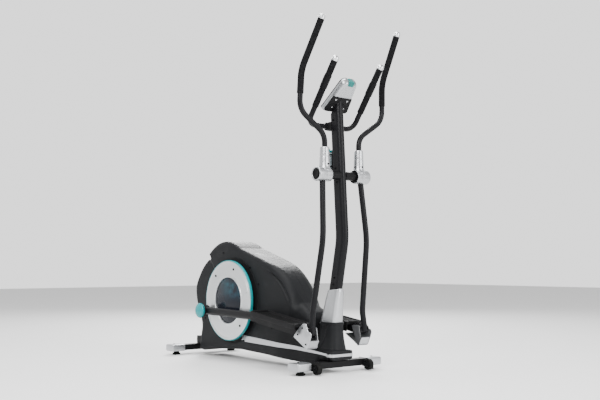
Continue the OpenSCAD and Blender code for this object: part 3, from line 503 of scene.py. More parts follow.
def foam():
    """Closed-cell foam: dull, with small pores and a soft sheen of dust."""
    p = Paint("foam grip")
    pores, lumps = p.cells(1100), p.noise(120, 4, 0.6)
    p.set(Base_Color=p.mix(lumps.ramp(0.35, 0.75), (0.004, 0.004, 0.0045), (0.011, 0.011, 0.012)))
    p.set(Roughness=pores * 0.15 + 0.78, Specular_IOR_Level=0.08)
    return p.bump(pores * 0.7 + lumps * 0.5, 0.0006, 0.7).material


def rubber():
    """Black rubber with a matt bloom."""
    p = Paint("rubber")
    bloom, grain = p.noise(40, 5, 0.6), p.noise(900, 2)
    p.set(Base_Color=p.mix(bloom.ramp(0.4, 0.8), (0.005, 0.005, 0.005), (0.014, 0.014, 0.0135)))
    p.set(Roughness=bloom * 0.2 + 0.6, Specular_IOR_Level=0.08)
    return p.bump(grain, 0.0002, 0.5).material


def brushed_metal(name, colour, roughness, along):
    """Metal with brushing lines along one axis."""
    p = Paint(name)
    scale = [1.0, 1.0, 1.0]
    scale[along] = 0.03
    lines, patches = p.noise(900, 2, 0.6, p.stretched(tuple(scale))), p.noise(20, 4)
    p.set(Base_Color=p.mix(lines * 0.4, colour, darker(colour, 0.75)), Metallic=1.0)
    p.set(Roughness=lines * 0.14 + patches * 0.08 + (roughness - 0.1))
    return p.bump(lines, 0.00008, 0.5).material


def cast_iron():
    """Cast flywheel: coarse skin, machined sheen in patches."""
    p = Paint("cast iron")
    skin, patches = p.noise(260, 5, 0.7), p.noise(12, 3)
    p.set(Base_Color=p.mix(patches, (0.10, 0.10, 0.10), (0.19, 0.185, 0.18)), Metallic=0.8)
    p.set(Roughness=skin * 0.25 + 0.42)
    return p.bump(skin, 0.0006, 0.7).material


def screen_glass():
    """Grey-green display behind a clear window, slightly uneven."""
    p = Paint("display")
    film, parts = p.noise(30, 2), p.node("ShaderNodeSeparateXYZ", {}, {0: p.place})
    fade = parts.value("Z").ramp(CONSOLE[2] + 0.04, CONSOLE[2] + 0.12)
    p.set(Base_Color=p.mix(fade * 0.5 + film * 0.3, (0.23, 0.27, 0.22), (0.31, 0.36, 0.30)))
    p.set(Roughness=film * 0.05 + 0.12, Coat_Weight=0.7, Coat_Roughness=0.05)
    return p.material


def bottle_plastic():
    """Translucent grey bottle with flow lines."""
    p = Paint("bottle plastic")
    flow = p.noise(50, 3, 0.5, p.stretched((1.0, 1.0, 0.2)))
    p.set(Base_Color=p.mix(flow, (0.20, 0.24, 0.26), (0.34, 0.39, 0.41)), Coat_Weight=0.3)
    p.set(Roughness=flow * 0.12 + 0.28)
    return p.bump(flow, 0.0003, 0.3).material


def floor_paint():
    """Pale seamless floor with the faintest mottling."""
    p = Paint("studio floor")
    cloud = p.noise(1.5, 3)
    p.set(Base_Color=p.mix(cloud, (0.86, 0.86, 0.86), (0.9, 0.9, 0.9)), Roughness=cloud * 0.1 + 0.6)
    return p.material


class Look:
    """Colours of the painted reflection on the crank's disc dome, set from its property group before the
    finishes are made.
    """

    # colours of the painted reflection on the dome
    dome_reflection_blue = (0.10, 0.30, 0.42)
    dome_reflection_green = (0.06, 0.34, 0.33)


CRANK_LOOK = Look()
MADE = {}


def once(key, make):
    """A finish that is made the first time it is asked for."""

    def get():
        if key not in MADE:
            MADE[key] = make()
        return MADE[key]

    return get


FINISHES = {
    key: once(key, make)
    for key, make in {
        "frame": lambda: powder_coat("frame black", (0.0055, 0.0055, 0.006), 0.4),
        "tube": lambda: powder_coat("tube graphite", (0.0065, 0.0065, 0.0075), 0.34),
        "shroud": lambda: grained_plastic("shroud black", (0.010, 0.0105, 0.0115), 0.42),
        "tray": lambda: grained_plastic("tray black", (0.009, 0.009, 0.0095), 0.5),
        "console black": lambda: grained_plastic("console black", (0.007, 0.007, 0.0075), 0.4),
        "console grey": lambda: silver_paint("console silver", (0.44, 0.455, 0.47)),
        "silver": lambda: silver_paint("silver paint", (0.46, 0.47, 0.485)),
        "disc silver": lambda: silver_paint("disc silver", (0.66, 0.68, 0.69)),
        "teal": lambda: gloss_colour("teal plastic", (0.006, 0.25, 0.27)),
        "clip teal": lambda: gloss_colour("clip teal", (0.003, 0.14, 0.13)),
        "dark gloss": lambda: grained_plastic("black gloss", (0.003, 0.003, 0.0035), 0.3),
        # the dome's finish carries a painted reflection
        "dome": dome_painted_reflection,
        "foam": foam,
        "rubber": rubber,
        "steel": lambda: brushed_metal("bright steel", (0.55, 0.56, 0.57), 0.32, 1),
        "chrome": lambda: brushed_metal("polished cap", (0.80, 0.81, 0.82), 0.16, 2),
        "cast": cast_iron,
        "display": screen_glass,
        "ink": lambda: gloss_colour("display ink", (0.015, 0.018, 0.016)),
        "bottle": bottle_plastic,
    }.items()
}

CAD_FINISHES = {
    "frame": ("base_frame", "front_stabilizer", "rear_stabilizer", "wheel_forks", "pivot_axle",
              "bottle_cage"),
    "tube": ("column", "lower_arm_right", "lower_arm_left", "handle_right", "handle_left",
             "fixed_handlebar",
             "pedal_bar_right", "pedal_bar_left"),
    "tray": ("axle_plugs", "drive_pulley", "handlebar_clamp", "footplate_right", "footplate_left"),
    "shroud": ("shroud_right", "shroud_left", "front_cover"),
    "silver": ("stabilizer_caps", "column_cover", "trim_strip", "crank_discs", "tee_cover_right",
               "tee_cover_left", "joint_cover_right", "joint_cover_left"),
    "teal": ("disc_rims", "pin_cap_right", "pin_cap_left"),
    "dome": ("disc_domes",),
    "foam": ("grip_right", "grip_left", "fixed_grips"),
    "rubber": ("foot_pads", "wheel_right", "wheel_left", "drive_belt"),
    "steel": ("crank_bearings", "flywheel_axle", "crank_axle", "pedal_pins_right", "pedal_pins_left",
              "pulse_sensors", "brake_arm"),
    "dark gloss": ("cover_screws",),
    "cast": ("flywheel",),
    "chrome": ("handle_cap_right", "handle_cap_left", "handlebar_caps"),
    "console black": ("console_front", "console_plate"),
    "console grey": ("console_back", "mode_button", "set_button"),
    "display": ("console_screen",),
    "bottle": ("bottle",),
}


# ---- Small shapes that several pieces share ----

AXES = np.eye(3)


def block(centre, size, axes=AXES, power=7.0, steps=28):
    """A box with rounded edges, as a superellipsoid: each axis takes a half size times
    sgn(c) |c|^(2/power) of the sphere's own coordinate."""
    shape = lambda c: np.sign(c) * np.abs(c) ** (2 / power)
    v = np.linspace(-math.pi / 2, math.pi / 2, steps // 2 + 1)[:, None]
    u = np.linspace(-math.pi, math.pi, steps, endpoint=False)[None, :]
    x = shape(np.cos(v)) * shape(np.cos(u))
    y = shape(np.cos(v)) * shape(np.sin(u))
    z = shape(np.sin(v)) * np.ones_like(u)
    half = np.array(size) / 2
    a, b, c = (np.array(k) for k in axes)
    P = x[..., None] * half[0] * a + y[..., None] * half[1] * b + z[..., None] * half[2] * c
    return grid(np.array(centre) + P)


def band(rows, power=8.0):
    """A flat bar carried along rows of (centre, thickness direction, width direction, half thickness,
    half width)."""
    return loft([(c, n, w, a, b, power) for c, n, w, a, b in rows])


def screw(centre, axis, r, high):
    """Pan-head screw with a hexagon socket, its axis pointing out of the surface."""
    profile = [(0, 0), (r, 0), (r, high * 0.4), (r * 0.86, high * 0.85), (r * 0.6, high), (r * 0.42, high),
               (r * 0.4, high * 0.3), (0, high * 0.3)]
    return lathe(profile, centre, axis, 18)


def local_axes(tilt):
    """Axes of something turned about Y: forward and down by tilt, sideways, and up."""
    c, s = math.cos(tilt), math.sin(tilt)
    return np.array([[c, 0, -s], [0, 1, 0], [s, 0, c]])


# ---- Housing ----


def at(dx, z):
    """A place beside the crank axis in millimetres: dx ahead of it, z above the floor."""
    return (CRANK[0] + dx / 1000, z / 1000)


def nose(x, z):
    """A place in millimetres from the front stabilizer's axis."""
    return (FRONT_AXIS + x / 1000, z / 1000)


def housing_outline():
    """Side outline of the drive's housing, anticlockwise, from under the nose."""
    floor = [nose(-186, 30), nose(-50, 30), nose(-34, 56), nose(45, 56)]
    front = [nose(45, 96), nose(42, 99.5), nose(-104, 99.5), nose(-104, 240), nose(-119, 262), at(530, 292)]
    crown = bezier(at(507, 306), at(462, 370), at(430, 440), at(319, 482), 12)
    roof = np.concatenate([[at(215, 516)],
                           bezier(at(40, 568), at(-80, 634), at(-165, 610), at(-248, 541), 16)])
    notch = [at(-226, 518), at(-238, 509)]
    tail = bezier(at(-262, 514), at(-385, 440), at(-405, 330), at(-318, 205), 16)
    foot = [at(-306, 160), at(-322, 80), at(-330, 32), at(-300, 26), at(-130, 46), at(50, 56), at(270, 47)]
    corners = np.concatenate([floor[1:], front, crown, roof, notch, tail, foot, floor[:2]])
    return round_profile(corners, 0.006)[:-1]


def housing_face(x, z, d):
    """Distance of the housing's side from the symmetry plane: a wide drive part that narrows to the nose,
    less a quarter-round edge, a shallow dish round the crank disc, a lowered tail and a crease along the
    front lip."""
    look = bpy.context.scene.trainer_covers
    sharp = smooth_step(0.13, 0.27, z)
    start = CRANK[0] + 0.36 + 0.115 * sharp
    wide = 1 - smooth_step(start, start + 0.17 - 0.13 * sharp, x)
    half = NOSE_HALF + (SHELL_HALF - 0.0005 - NOSE_HALF) * wide
    brow = smooth_step(CRANK[0] + 0.26, CRANK[0] + 0.42, x) * smooth_step(0.20, 0.32, z)
    radius = look.edge_round + 0.026 * brow
    edge = radius - np.sqrt(np.maximum(radius**2 - np.clip(radius - d, 0, None) ** 2, 0))
    dish = 0.005 * (1 - smooth_step(0.211, 0.219, np.hypot(x - CRANK[0], z - CRANK[2])))
    across = (x - CRANK[0] + 0.230) * -0.73 - (z - 0.514) * 0.69
    tail = look.tail_step * smooth_step(-0.004, 0.003, across) * smooth_step(0.36, 0.44, z)
    front = smooth_step(CRANK[0] + 0.27, CRANK[0] + 0.35, x) * smooth_step(0.29, 0.33, z)
    crease = 0.0075 * np.exp(-(((d - 0.034) / 0.0042) ** 2)) * front
    return half - edge - dish * smooth_step(0.0, 0.012, d) - tail - crease


def build_housing(side_name):
    """One half of the drive's housing, as a relief over its side outline."""
    side = SIDES[side_name]
    depths = [0.0015, 0.004, 0.0075, 0.012, 0.017, 0.0225, 0.0275, 0.031, 0.034, 0.037, 0.0405, 0.047]
    parts = relief(housing_outline(), 0.0055, depths, housing_face, 0.0004, side_plate(side))
    piece(f"housing_{side_name}", parts, "shroud", "frame", [f"shroud_{side_name}"], 40)


def strip_rows():
    """The silver strip's centre line from the left disc round the nose to the right one, with its half
    heights. It lies on the housing's side, then turns round the nose on a quarter circle."""
    x = np.concatenate([np.linspace(CRANK[0] + 0.078, FRONT_AXIS + 0.021, 70)])
    knots = np.array([CRANK[0] + 0.08, CRANK[0] + 0.498, FRONT_AXIS - 0.008, FRONT_AXIS + 0.045])
    z = np.interp(x, knots, [0.117, 0.098, 0.085, 0.0785])
    h = np.interp(x, knots, [0.0165, 0.0092, 0.0052, 0.0062])
    y = housing_face(x, z, np.full(len(x), 0.05))
    rows = [((a, b, c), (0, 1, 0), k) for a, b, c, k in zip(x, y, z, h)]
    turn = NOSE_HALF - 0.048
    for a in np.radians(np.linspace(82, 0, 10)):
        n = (math.cos(a), math.sin(a), 0)
        rows.append(((FRONT_AXIS + 0.0205 + 0.0245 * n[0], 0.048 + turn * n[1], 0.0775), n, 0.0063))
    right = [((c[0], -c[1], c[2]), (n[0], -n[1], 0), h) for c, n, h in rows[::-1]]
    return rows + right


def build_strip():
    """Silver strip that starts at one disc, runs round the nose and ends at the other."""
    thick = bpy.context.scene.trainer_covers.strip_thickness
    rows = [(np.array(c) + np.array(n) * 0.0004, n, (0, 0, 1), thick, h) for c, n, h in strip_rows()]
    piece("side_strip", [band(rows)], "silver", "frame", ["trim_strip"])


def build_column_covers():
    """Black housing round the column's foot and the silver sleeve above it, as stacked superellipses that
    follow the column's lean."""
    low, high = 0.0998, 0.2217
    rows = []
    for t in np.linspace(0, 1, 22):
        z = low + (high - low) * t
        x = FRONT_AXIS - 0.032 + (float(column_x(high)) - FRONT_AXIS + 0.032) * t
        waist = 0.004 * math.sin(math.pi * t)
        lip = 0.002 if t > 0.93 else 0.0
        rows.append(((x, 0, z), (1, 0, 0), (0, 1, 0), 0.068 - 0.012 * t - waist + lip,
                     0.054 - 0.012 * t - waist + lip, 3.0))
    parts = [loft(rows)]
    for s in (1, -1):
        ridge = []
        for t in np.linspace(0.06, 0.9, 16):
            z = low + (high - low) * t
            x = FRONT_AXIS - 0.060 + 0.05 * t + 0.012 * math.sin(math.pi * t)
            out = 0.0535 - 0.012 * t - 0.004 * math.sin(math.pi * t)
            ridge.append(((x, s * out, z), (0, s, 0), (1, 0, 0), 0.0022, 0.006))
        parts.append(band(ridge, 3.0))
    piece("foot_housing", parts, "shroud", "frame", ["front_cover"])
    rows = []
    for z, a, b, p in [(0.2222, 0.0505, 0.0355, 3.4), (0.224, 0.052, 0.037, 3.4),
                       (0.236, 0.0515, 0.0365, 3.3),
                       (0.262, 0.0490, 0.0345, 3.2), (0.290, 0.0465, 0.0325, 3.1),
                       (0.320, 0.0440, 0.0305, 3.0),
                       (0.350, 0.0415, 0.0280, 2.9), (0.366, 0.0400, 0.0262, 2.8),
                       (0.3705, 0.0385, 0.0250, 2.8)]:
        tilt = 0.12 * smooth_step(0.29, 0.37, z)
        rows.append(((float(column_x(z)), 0, z), (1, 0, tilt), (0, 1, 0), a, b, p))
    parts = [loft(rows)]
    for s in (1, -1):
        for dx, long in ((0.014, 0.96), (-0.020, 0.80)):
            rib = []
            for t in np.linspace(0.05, long, 14):
                z = 0.2222 + 0.146 * t
                rib.append(((float(column_x(z)) + dx * (1 - 0.3 * t), s * (0.0362 - 0.0105 * t), z),
                            (0, s, 0), (1, 0, 0), 0.0016, 0.0034))
            parts.append(band(rib, 2.5))
    piece("column_sleeve", parts, "silver", "frame", ["column_cover"])


# ---- Crank discs ----


def lathe_loop(profile, centre, axis, steps=128):
    """Like lathe, with the profile closed on itself."""
    r = np.vstack([profile, profile[:1]])
    return lathe(r, centre, axis, steps)


def build_disc(side_name):
    """Silver ring with its inner lip, coloured rim, smoked dome and screws, turned round the crank's axis."""
    side = SIDES[side_name]
    look = bpy.context.scene.trainer_crank
    centre = (CRANK[0], side * DISC_IN, CRANK[2])
    axis = (0, side, 0)
    rim = look.rim_width
    r = 0.205 - rim
    outline = [(0.1165, 0.006), (0.1165, 0.0165), (0.1185, 0.0200), (0.1230, 0.0200), (0.1260, 0.0168),
               (0.1600, 0.0184), (r - 0.0150, 0.0200), (r - 0.0142, 0.0188), (r - 0.0130, 0.0188),
               (r - 0.0122, 0.0202), (r - 0.0045, 0.0206), (r - 0.0006, 0.0175), (r - 0.0006, 0.0020),
               (0.1700, 0.0008), (0.1250, 0.0008)]
    parts = [lathe_loop(round_profile(outline, 0.0012, 3), centre, axis)]
    pin = np.array([PIN[0] - CRANK[0], 0, PIN[2] - CRANK[2]]) * side
    boss = np.array(centre) + pin
    parts.append(lathe([(0, 0.001), (0.015, 0.001), (0.015, 0.0195), (0.0135, 0.021), (0, 0.021)], boss,
                       axis, 40))
    piece(f"disc_ring_{side_name}", parts, "disc silver", "crank",
          ["crank_discs"] if side > 0 else ())
    edge = [(r - 0.0004, 0.0025), (0.2035, 0.0025), (0.2048, 0.0050), (0.2048, 0.0160), (0.2030, 0.0192),
            (r - 0.0004, 0.0196)]
    piece(f"disc_rim_{side_name}", [lathe_loop(round_profile(edge, 0.0012, 3), centre, axis)], "teal",
          "crank",
          ["disc_rims"] if side > 0 else ())
    t = np.linspace(0, 1, 22)[:, None]
    cap = np.hstack([0.1158 * (1 - t), 0.0125 + 0.0085 * np.sin(t * math.pi / 2) ** 0.8])
    dome = np.vstack([[(0, 0.004), (0.1140, 0.004), (0.1158, 0.006)], cap])
    piece(f"disc_dome_{side_name}", [lathe(dome, centre, axis, 128)], "dome", "crank",
          ["disc_domes"] if side > 0 else ())
    spots = [(math.cos(math.radians(a)), math.sin(math.radians(a))) for a in (72, -48, 132)]
    screw_circle = 0.166
    parts = [screw((centre[0] + screw_circle * c, side * (DISC_IN + 0.0186), centre[2] + screw_circle * s),
                   axis, 0.0062, 0.003)
             for c, s in spots]
    piece(f"disc_screws_{side_name}", parts, "dark gloss", "crank")


def build_pin_cap(side_name):
    """Domed cap, its ring and the collar behind it, turned round the pin's axis."""
    side = SIDES[side_name]
    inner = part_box("pin_cap_left")[0][1]
    centre = (PIN[0], side * inner, PIN[2])
    cap = [(0, 0.0005), (0.0345, 0.0005), (0.0375, 0.0030), (0.0380, 0.0060), (0.0380, 0.0115),
           (0.0365, 0.0150),
           (0.0300, 0.0205), (0.0200, 0.0240), (0.0110, 0.0254), (0.0100, 0.0248), (0.0090, 0.0254),
           (0, 0.0257)]
    groove = lathe([(0.0372, 0.0068), (0.0386, 0.0070), (0.0388, 0.0084), (0.0372, 0.0090)], centre,
                   (0, side, 0), 72)
    profile = round_profile(cap, 0.0018, 3)
    piece(f"crank_pin_cap_{side_name}", [lathe(profile, centre, (0, side, 0), 72)], "teal",
          f"{side_name}_pedal",
          [f"pin_cap_{side_name}"])
    piece(f"pin_cap_ring_{side_name}", [groove], "dark gloss", f"{side_name}_pedal")
    collar = [(0, -0.0005), (0.0262, -0.0005), (0.0278, -0.0030), (0.0278, -0.0350), (0.0262, -0.0375),
              (0, -0.0375)]
    piece(f"crank_pin_collar_{side_name}", [lathe(round_profile(collar, 0.001, 3), centre, (0, side, 0),
                                                  56)],
          "tray", f"{side_name}_pedal")


# ---- Footplates and joints ----


def build_footplate(side_name):
    """Ribbed tray: a folded section carried along the plate, with cross ribs, studs, a heel and a toe
    wall."""
    side = SIDES[side_name]
    axes = local_axes(SLOPE)
    origin = np.array([EYE[0], side * EYE[1], EYE[2]])

    def spot(x, y, z):
        """A place given in the tilted plate's own directions."""
        return origin + x * axes[0] + y * axes[1] + z * axes[2]

    front, rear = -0.048, -0.386
    half, floor_z, rim_z, skirt_z = 0.052, 0.0243, 0.0303, -0.0147
    section = [(0, 0.0203), (half - 0.004, 0.0203), (half - 0.004, skirt_z), (half, skirt_z), (half, 0.008),
               (half + 0.0018, 0.010), (half + 0.0018, rim_z - 0.001), (half, rim_z + 0.0012),
               (half - 0.003, rim_z + 0.0012),
               (half - 0.0045, floor_z), (0, floor_z)]
    right = round_profile(section, 0.0016, 3)
    left = right[::-1] * (-1, 1)
    ring = np.vstack([right, left[1:-1]])
    xs = np.array([rear, rear + 0.003, rear + 0.01, *np.linspace(rear + 0.03, front - 0.03, 10),
                   front - 0.01,
                   front - 0.003, front])
    taper = 1 - 0.03 * np.exp(-np.minimum(xs - rear, front - xs) / 0.006)
    P = np.array([[spot(x, y * k, z) for y, z in ring] for x, k in zip(xs, taper)])
    parts = [capped(P)]
    for x in (rear + 0.003, front - 0.003):
        parts.append(block(spot(x, 0, 0.0255), (0.006, 2 * half - 0.004, 0.016), axes))
    for i in range(15):
        parts.append(block(spot(rear + 0.022 + i * 0.0215, 0, floor_z + 0.0008), (0.0052, 0.080, 0.0034),
                           axes, 5, 16))
    piece(f"tray_{side_name}", parts, "tray", f"{side_name}_pedal",
          [f"footplate_{side_name}"], 30)
    studs = [block(spot(rear + 0.033 + i * 0.0215, y, floor_z + 0.0006), (0.006, 0.006, 0.003), axes, 3, 10)
             for i in range(14) for y in np.linspace(-0.036, 0.036, 7)]
    piece(f"tray_studs_{side_name}", studs, "rubber", f"{side_name}_pedal")
    bolts = [screw(spot(x, y, floor_z + 0.0002), axes[2], 0.0055, 0.003)
             for x in (rear + 0.08, front - 0.09) for y in (-0.030, 0.030)]
    piece(f"tray_bolts_{side_name}", bolts, "dark gloss", f"{side_name}_pedal")


FAN = [(8, -72), (18, -66), (34, -34), (44, -8), (38, 4), (20, 8), (12, 26), (8, 42), (-14, 42), (-40, 26),
       (-76, -10), (-84, -22)]


def build_joint_cover(side_name):
    """Fan-shaped shell over the joint at the arm's foot: two plates joined by a folded band."""
    side = SIDES[side_name]
    body = f"{side_name}_pedal"
    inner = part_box("joint_cover_left")[0][1]
    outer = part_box("joint_cover_left")[1][1]
    centre = np.array([EYE[0], EYE[2]])
    fan = round_profile(np.array([FAN[-1], *FAN, FAN[0]]) / 1000 + centre, 0.006)[4:-4]
    loss = rounded(0.007)

    def face(u, v, d):
        """A slight crown, less the rounded edge."""
        bulge = 0.0025 * smooth_step(0.006, 0.03, d)
        return outer + 0.0008 - loss(d) * 0.45 + bulge

    parts = relief(fan, 0.004, [0.001, 0.0025, 0.0045, 0.007, 0.011], face, outer - 0.0028,
                   side_plate(side))
    floor = np.array([(-82, -21), (-60, -33), (-20, -55), (4, -70), (12, -70), (18, -63), (26, -46),
                      (33, -33)]) / 1000
    floor = resample(floor, 0.006)[: -12] + centre
    along = np.gradient(floor, axis=0)
    along /= np.linalg.norm(along, axis=1)[:, None]
    y = side * (inner + outer) / 2
    rows = [((p[0] - t[1] * 0.0022, y, p[1] + t[0] * 0.0022), (-t[1], 0, t[0]), (0, 1, 0), 0.0019,
             (outer - inner) / 2 - 0.001) for p, t in zip(floor, along)]
    parts.append(band(rows, 10))
    plate = round_profile(np.array([(-84, -22), (8, -72), (18, -66), (24, -30), (16, 24), (-30, 22),
                                    (-84, -22)]) / 1000
                          + centre, 0.006)[1:-1]
    parts += relief(plate, 0.006, [0.001, 0.003], lambda u, v, d: inner + 0.0024 - rounded(0.001)(d), inner,
                    side_plate(side))
    piece(f"joint_shell_{side_name}", parts, "silver", body,
          [f"joint_cover_{side_name}"], 38)
    heads = [screw((centre[0] + x / 1000, side * (outer + 0.0024), centre[1] + z / 1000), (0, side, 0),
                   0.0042, 0.0022)
             for x, z in ((-48, -8), (-14, 22), (8, -48))]
    piece(f"joint_screws_{side_name}", heads, "dark gloss", body)
    bolt = [(0, 0), (0.0125, 0), (0.0125, 0.004), (0.0112, 0.0062), (0.006, 0.0066), (0.0058, 0.003),
            (0, 0.003)]
    foot = (EYE[0] + 0.020, side * (EYE[1] + 0.0132), EYE[2] + 0.010)
    piece(f"arm_foot_bolt_{side_name}", [lathe(bolt, foot, (0, side, 0), 6),
                                         screw(foot, (0, side, 0), 0.006, 0.0085)],
          "dark gloss", f"{side_name}_arm")


def build_tee_cover(side_name):
    """Silver barrel round the arm's hub, and the tapering sleeve that holds the handle."""
    side = SIDES[side_name]
    low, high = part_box("tee_cover_left")
    a, b = low[1], high[1]
    centre = (TEE[0], 0, TEE[2])
    barrel = [(0.0256, a), (0.0300, a), (0.0330, a + 0.0040), (0.0330, a + 0.0300), (0.0326, a + 0.0305),
              (0.0326, a + 0.0325), (0.0330, a + 0.0330), (0.0330, b - 0.0045), (0.0305, b), (0.0268, b),
              (0.0256, b - 0.0015)]
    parts = [lathe_loop(round_profile(barrel, 0.0012, 3), centre, (0, side, 0), 72)]
    y = side * 0.104
    x = TEE[0] + 0.002
    sleeve = [(0.0, 0.010), (0.0325, 0.014), (0.0322, 0.018), (0.0275, 0.026), (0.0245, 0.036),
              (0.0232, 0.052),
              (0.0228, 0.078), (0.0216, 0.080), (0.0216, 0.084), (0.0222, 0.086), (0.0208, 0.119),
              (0.0198, 0.1235),
              (0.0150, 0.1240), (0.0138, 0.1215), (0.0, 0.1215)]
    parts.append(lathe(round_profile(sleeve, 0.002, 3), (x, y, TEE[2]), (0, 0, 1), 64))
    piece(f"tee_shell_{side_name}", parts, "silver", f"{side_name}_arm",
          [f"tee_cover_{side_name}"])
    heads = [screw((x - 0.0235, y, TEE[2] + 0.045), (-1, 0, 0.1), 0.0046, 0.0035),
             screw((x + 0.0235, y, TEE[2] + 0.045), (1, 0, 0.1), 0.0046, 0.0035),
             screw((x, y - side * 0.0235, TEE[2] + 0.045), (0, -side, 0.1), 0.0042, 0.0030)]
    piece(f"tee_screws_{side_name}", heads, "dark gloss", f"{side_name}_arm")
    plug = [(0, 0), (0.0218, 0), (0.0218, 0.0022), (0.0200, 0.0042), (0.0165, 0.0042), (0.0155, 0.0030),
            (0, 0.0024)]
    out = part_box("axle_plugs")[1][1] - 0.0042
    piece(f"axle_end_plug_{side_name}", [lathe(round_profile(plug, 0.0006, 2), (TEE[0], side * out, TEE[2]),
          (0, side, 0), 56)], "dark gloss", "frame", ["axle_plugs"] if side > 0 else ())
    washer = [(0.0125, a - 0.0042), (0.0290, a - 0.0042), (0.0300, a - 0.0030), (0.0300, a - 0.0012),
              (0.0125, a - 0.0012)]
    piece(f"tee_washer_{side_name}", [lathe_loop(np.array(washer), centre, (0, side, 0), 56)],
          "dark gloss", "frame")


# ---- Handles ----

FIXED_X = float(column_x(1.125)) - 0.0495
FIXED_TIP = np.array([FIXED_X + 0.194, 0.138, 1.390])
FIXED_DIR = np.array([0.194, 0, 0.265]) / math.hypot(0.194, 0.265)
HANDLE_BEND = np.array([TEE[0] + 0.013, 0.247, TEE[2] + 0.455])
HANDLE_TIP = np.array([TEE[0] + 0.134, 0.230, 1.557])


def mirrored(v, side):
    """A place given for the left side, on the side asked for."""
    return np.array([v[0], side * v[1], v[2]])


def tip_cap(tip, direction, body, name, replaced):
    """Polished cap on a tube's end: a collar with a groove, then a dome."""
    cap = [(0, -0.006), (0.0150, -0.006), (0.0158, -0.0045), (0.0158, 0.0015), (0.0148, 0.0022),
           (0.0148, 0.0032),
           (0.0156, 0.0040), (0.0150, 0.0075), (0.0128, 0.0112), (0.0090, 0.0138), (0.0045, 0.0149),
           (0, 0.0151)]
    piece(name, [lathe(round_profile(cap, 0.0008, 3), tip, direction, 48)], "chrome", body,
          replaced)


def build_tip_caps():
    """Polished caps on both handles and both ends of the fixed handlebar."""
    direction = (HANDLE_TIP - HANDLE_BEND) / np.linalg.norm(HANDLE_TIP - HANDLE_BEND)
    for name, side in SIDES.items():
        tip_cap(mirrored(HANDLE_TIP, side), mirrored(direction, side), f"{name}_arm", f"handle_tip_{name}",
                [f"handle_cap_{name}"])
        tip_cap(mirrored(FIXED_TIP, side), FIXED_DIR, "frame", f"handlebar_tip_{name}",
                ["handlebar_caps"] if side > 0 else ())


def build_sensors():
    """Pulse sensors: a black housing round each fixed grip with a bright plate on the user's side."""
    rows = [(0.0155, 0.145), (0.0168, 0.1435), (0.0168, 0.0785), (0.0155, 0.077)]
    side_dir = np.array([0.0, 1.0, 0.0])
    front_dir = np.cross(side_dir, FIXED_DIR)
    for name, side in SIDES.items():
        tip = mirrored(FIXED_TIP, side)
        profile = [(0.0126, -0.145)] + [(r, -t) for r, t in rows] + [(0.0126, -0.077)]
        piece(f"sensor_housing_{name}", [lathe_loop(round_profile(profile, 0.0008, 2), tip, FIXED_DIR, 48)],
              "dark gloss", "frame", ["pulse_sensors"] if side > 0 else ())
        a = np.radians(np.linspace(125, 235, 18))
        ring = np.cos(a)[:, None] * front_dir + np.sin(a)[:, None] * side_dir
        rise = 0.0009 * np.clip(np.sin(np.linspace(0, math.pi, 18)) * 6, 0, 1)
        outer = np.array([[tip - t * FIXED_DIR + (0.0166 + k) * n for n, k in zip(ring, rise * e)]
                          for t, e in ((0.085, 0.0), (0.0856, 1.0), (0.1364, 1.0), (0.137, 0.0))])
        inner = np.array([[tip - t * FIXED_DIR + 0.0158 * n for n in ring]
                          for t in (0.137, 0.1364, 0.0856, 0.085)])
        plate = grid(np.concatenate([outer, inner]), ring=False, loop=True)
        piece(f"sensor_plates_{name}", [plate], "steel", "frame")


def build_clamp():
    """Two-part saddle that holds the fixed handlebar to the column, with its bolts."""
    x, z = FIXED_X, 1.125
    parts = [band([((x, y, z), (1, 0, 0), (0, 0, 1), 0.0188, 0.0188)
                   for y in (-0.026, -0.024, 0.024, 0.026)], 2)]
    parts.append(block((x + 0.012, 0, z), (0.036, 0.050, 0.040), AXES, 8))
    piece("handlebar_saddle", parts, "tray", "frame", ["handlebar_clamp"])
    heads = [screw((x - 0.0175, s * 0.017, z + k * 0.006), (-1, 0, k * 0.3), 0.0045, 0.003)
             for s in (1, -1) for k in (1, -1)]
    piece("saddle_bolts", heads, "steel", "frame")


def build_collars():
    """Rubber rings where the foam ends and bolts through the column."""
    start = np.array([TEE[0] + 0.006, 0.252, TEE[2] + 0.279])
    foot = start + (HANDLE_BEND - start) * 0.42
    direction = (HANDLE_BEND - start) / np.linalg.norm(HANDLE_BEND - start)
    ring = [(0.0126, -0.004), (0.0146, -0.004), (0.0155, -0.0028), (0.0155, 0.0008), (0.0146, 0.0014),
            (0.0126, 0.0014)]
    for name, side in SIDES.items():
        piece(f"foam_ring_{name}", [lathe_loop(round_profile(ring, 0.0005, 2), mirrored(foot, side),
              mirrored(direction, side), 40)], "dark gloss", f"{name}_arm")
    heads = []
    for z in (0.395, 0.425, 0.86, 0.925, 1.105, 1.150):
        for side in (1, -1):
            x = float(column_x(z)) + (0.0 if z < 0.9 else -0.006)
            heads.append(screw((x, side * 0.0199, z), (0, side, 0), 0.0052, 0.0034))
    piece("column_bolts", heads, "dark gloss", "frame")


# ---- Console ----

CONSOLE_AXES = local_axes(CONSOLE_TILT)
CONSOLE_SCREEN = (-0.034, 0.070, 0.034, 0.140)


def console_spot(back, across, up):
    """A place given in the console's own directions."""
    return CONSOLE + back * CONSOLE_AXES[0] + across * CONSOLE_AXES[1] + up * CONSOLE_AXES[2]


def on_console(sign):
    """Places (u, v, w) as across, up the face, and w behind it or, with sign -1, in front of it."""
    def place(u, v, w):
        """Three rows of coordinates, one column for each point."""
        behind, across, up = (axis[:, None] for axis in CONSOLE_AXES)
        return tuple(CONSOLE[:, None] + sign * w * behind + u * across + v * up)
    return place


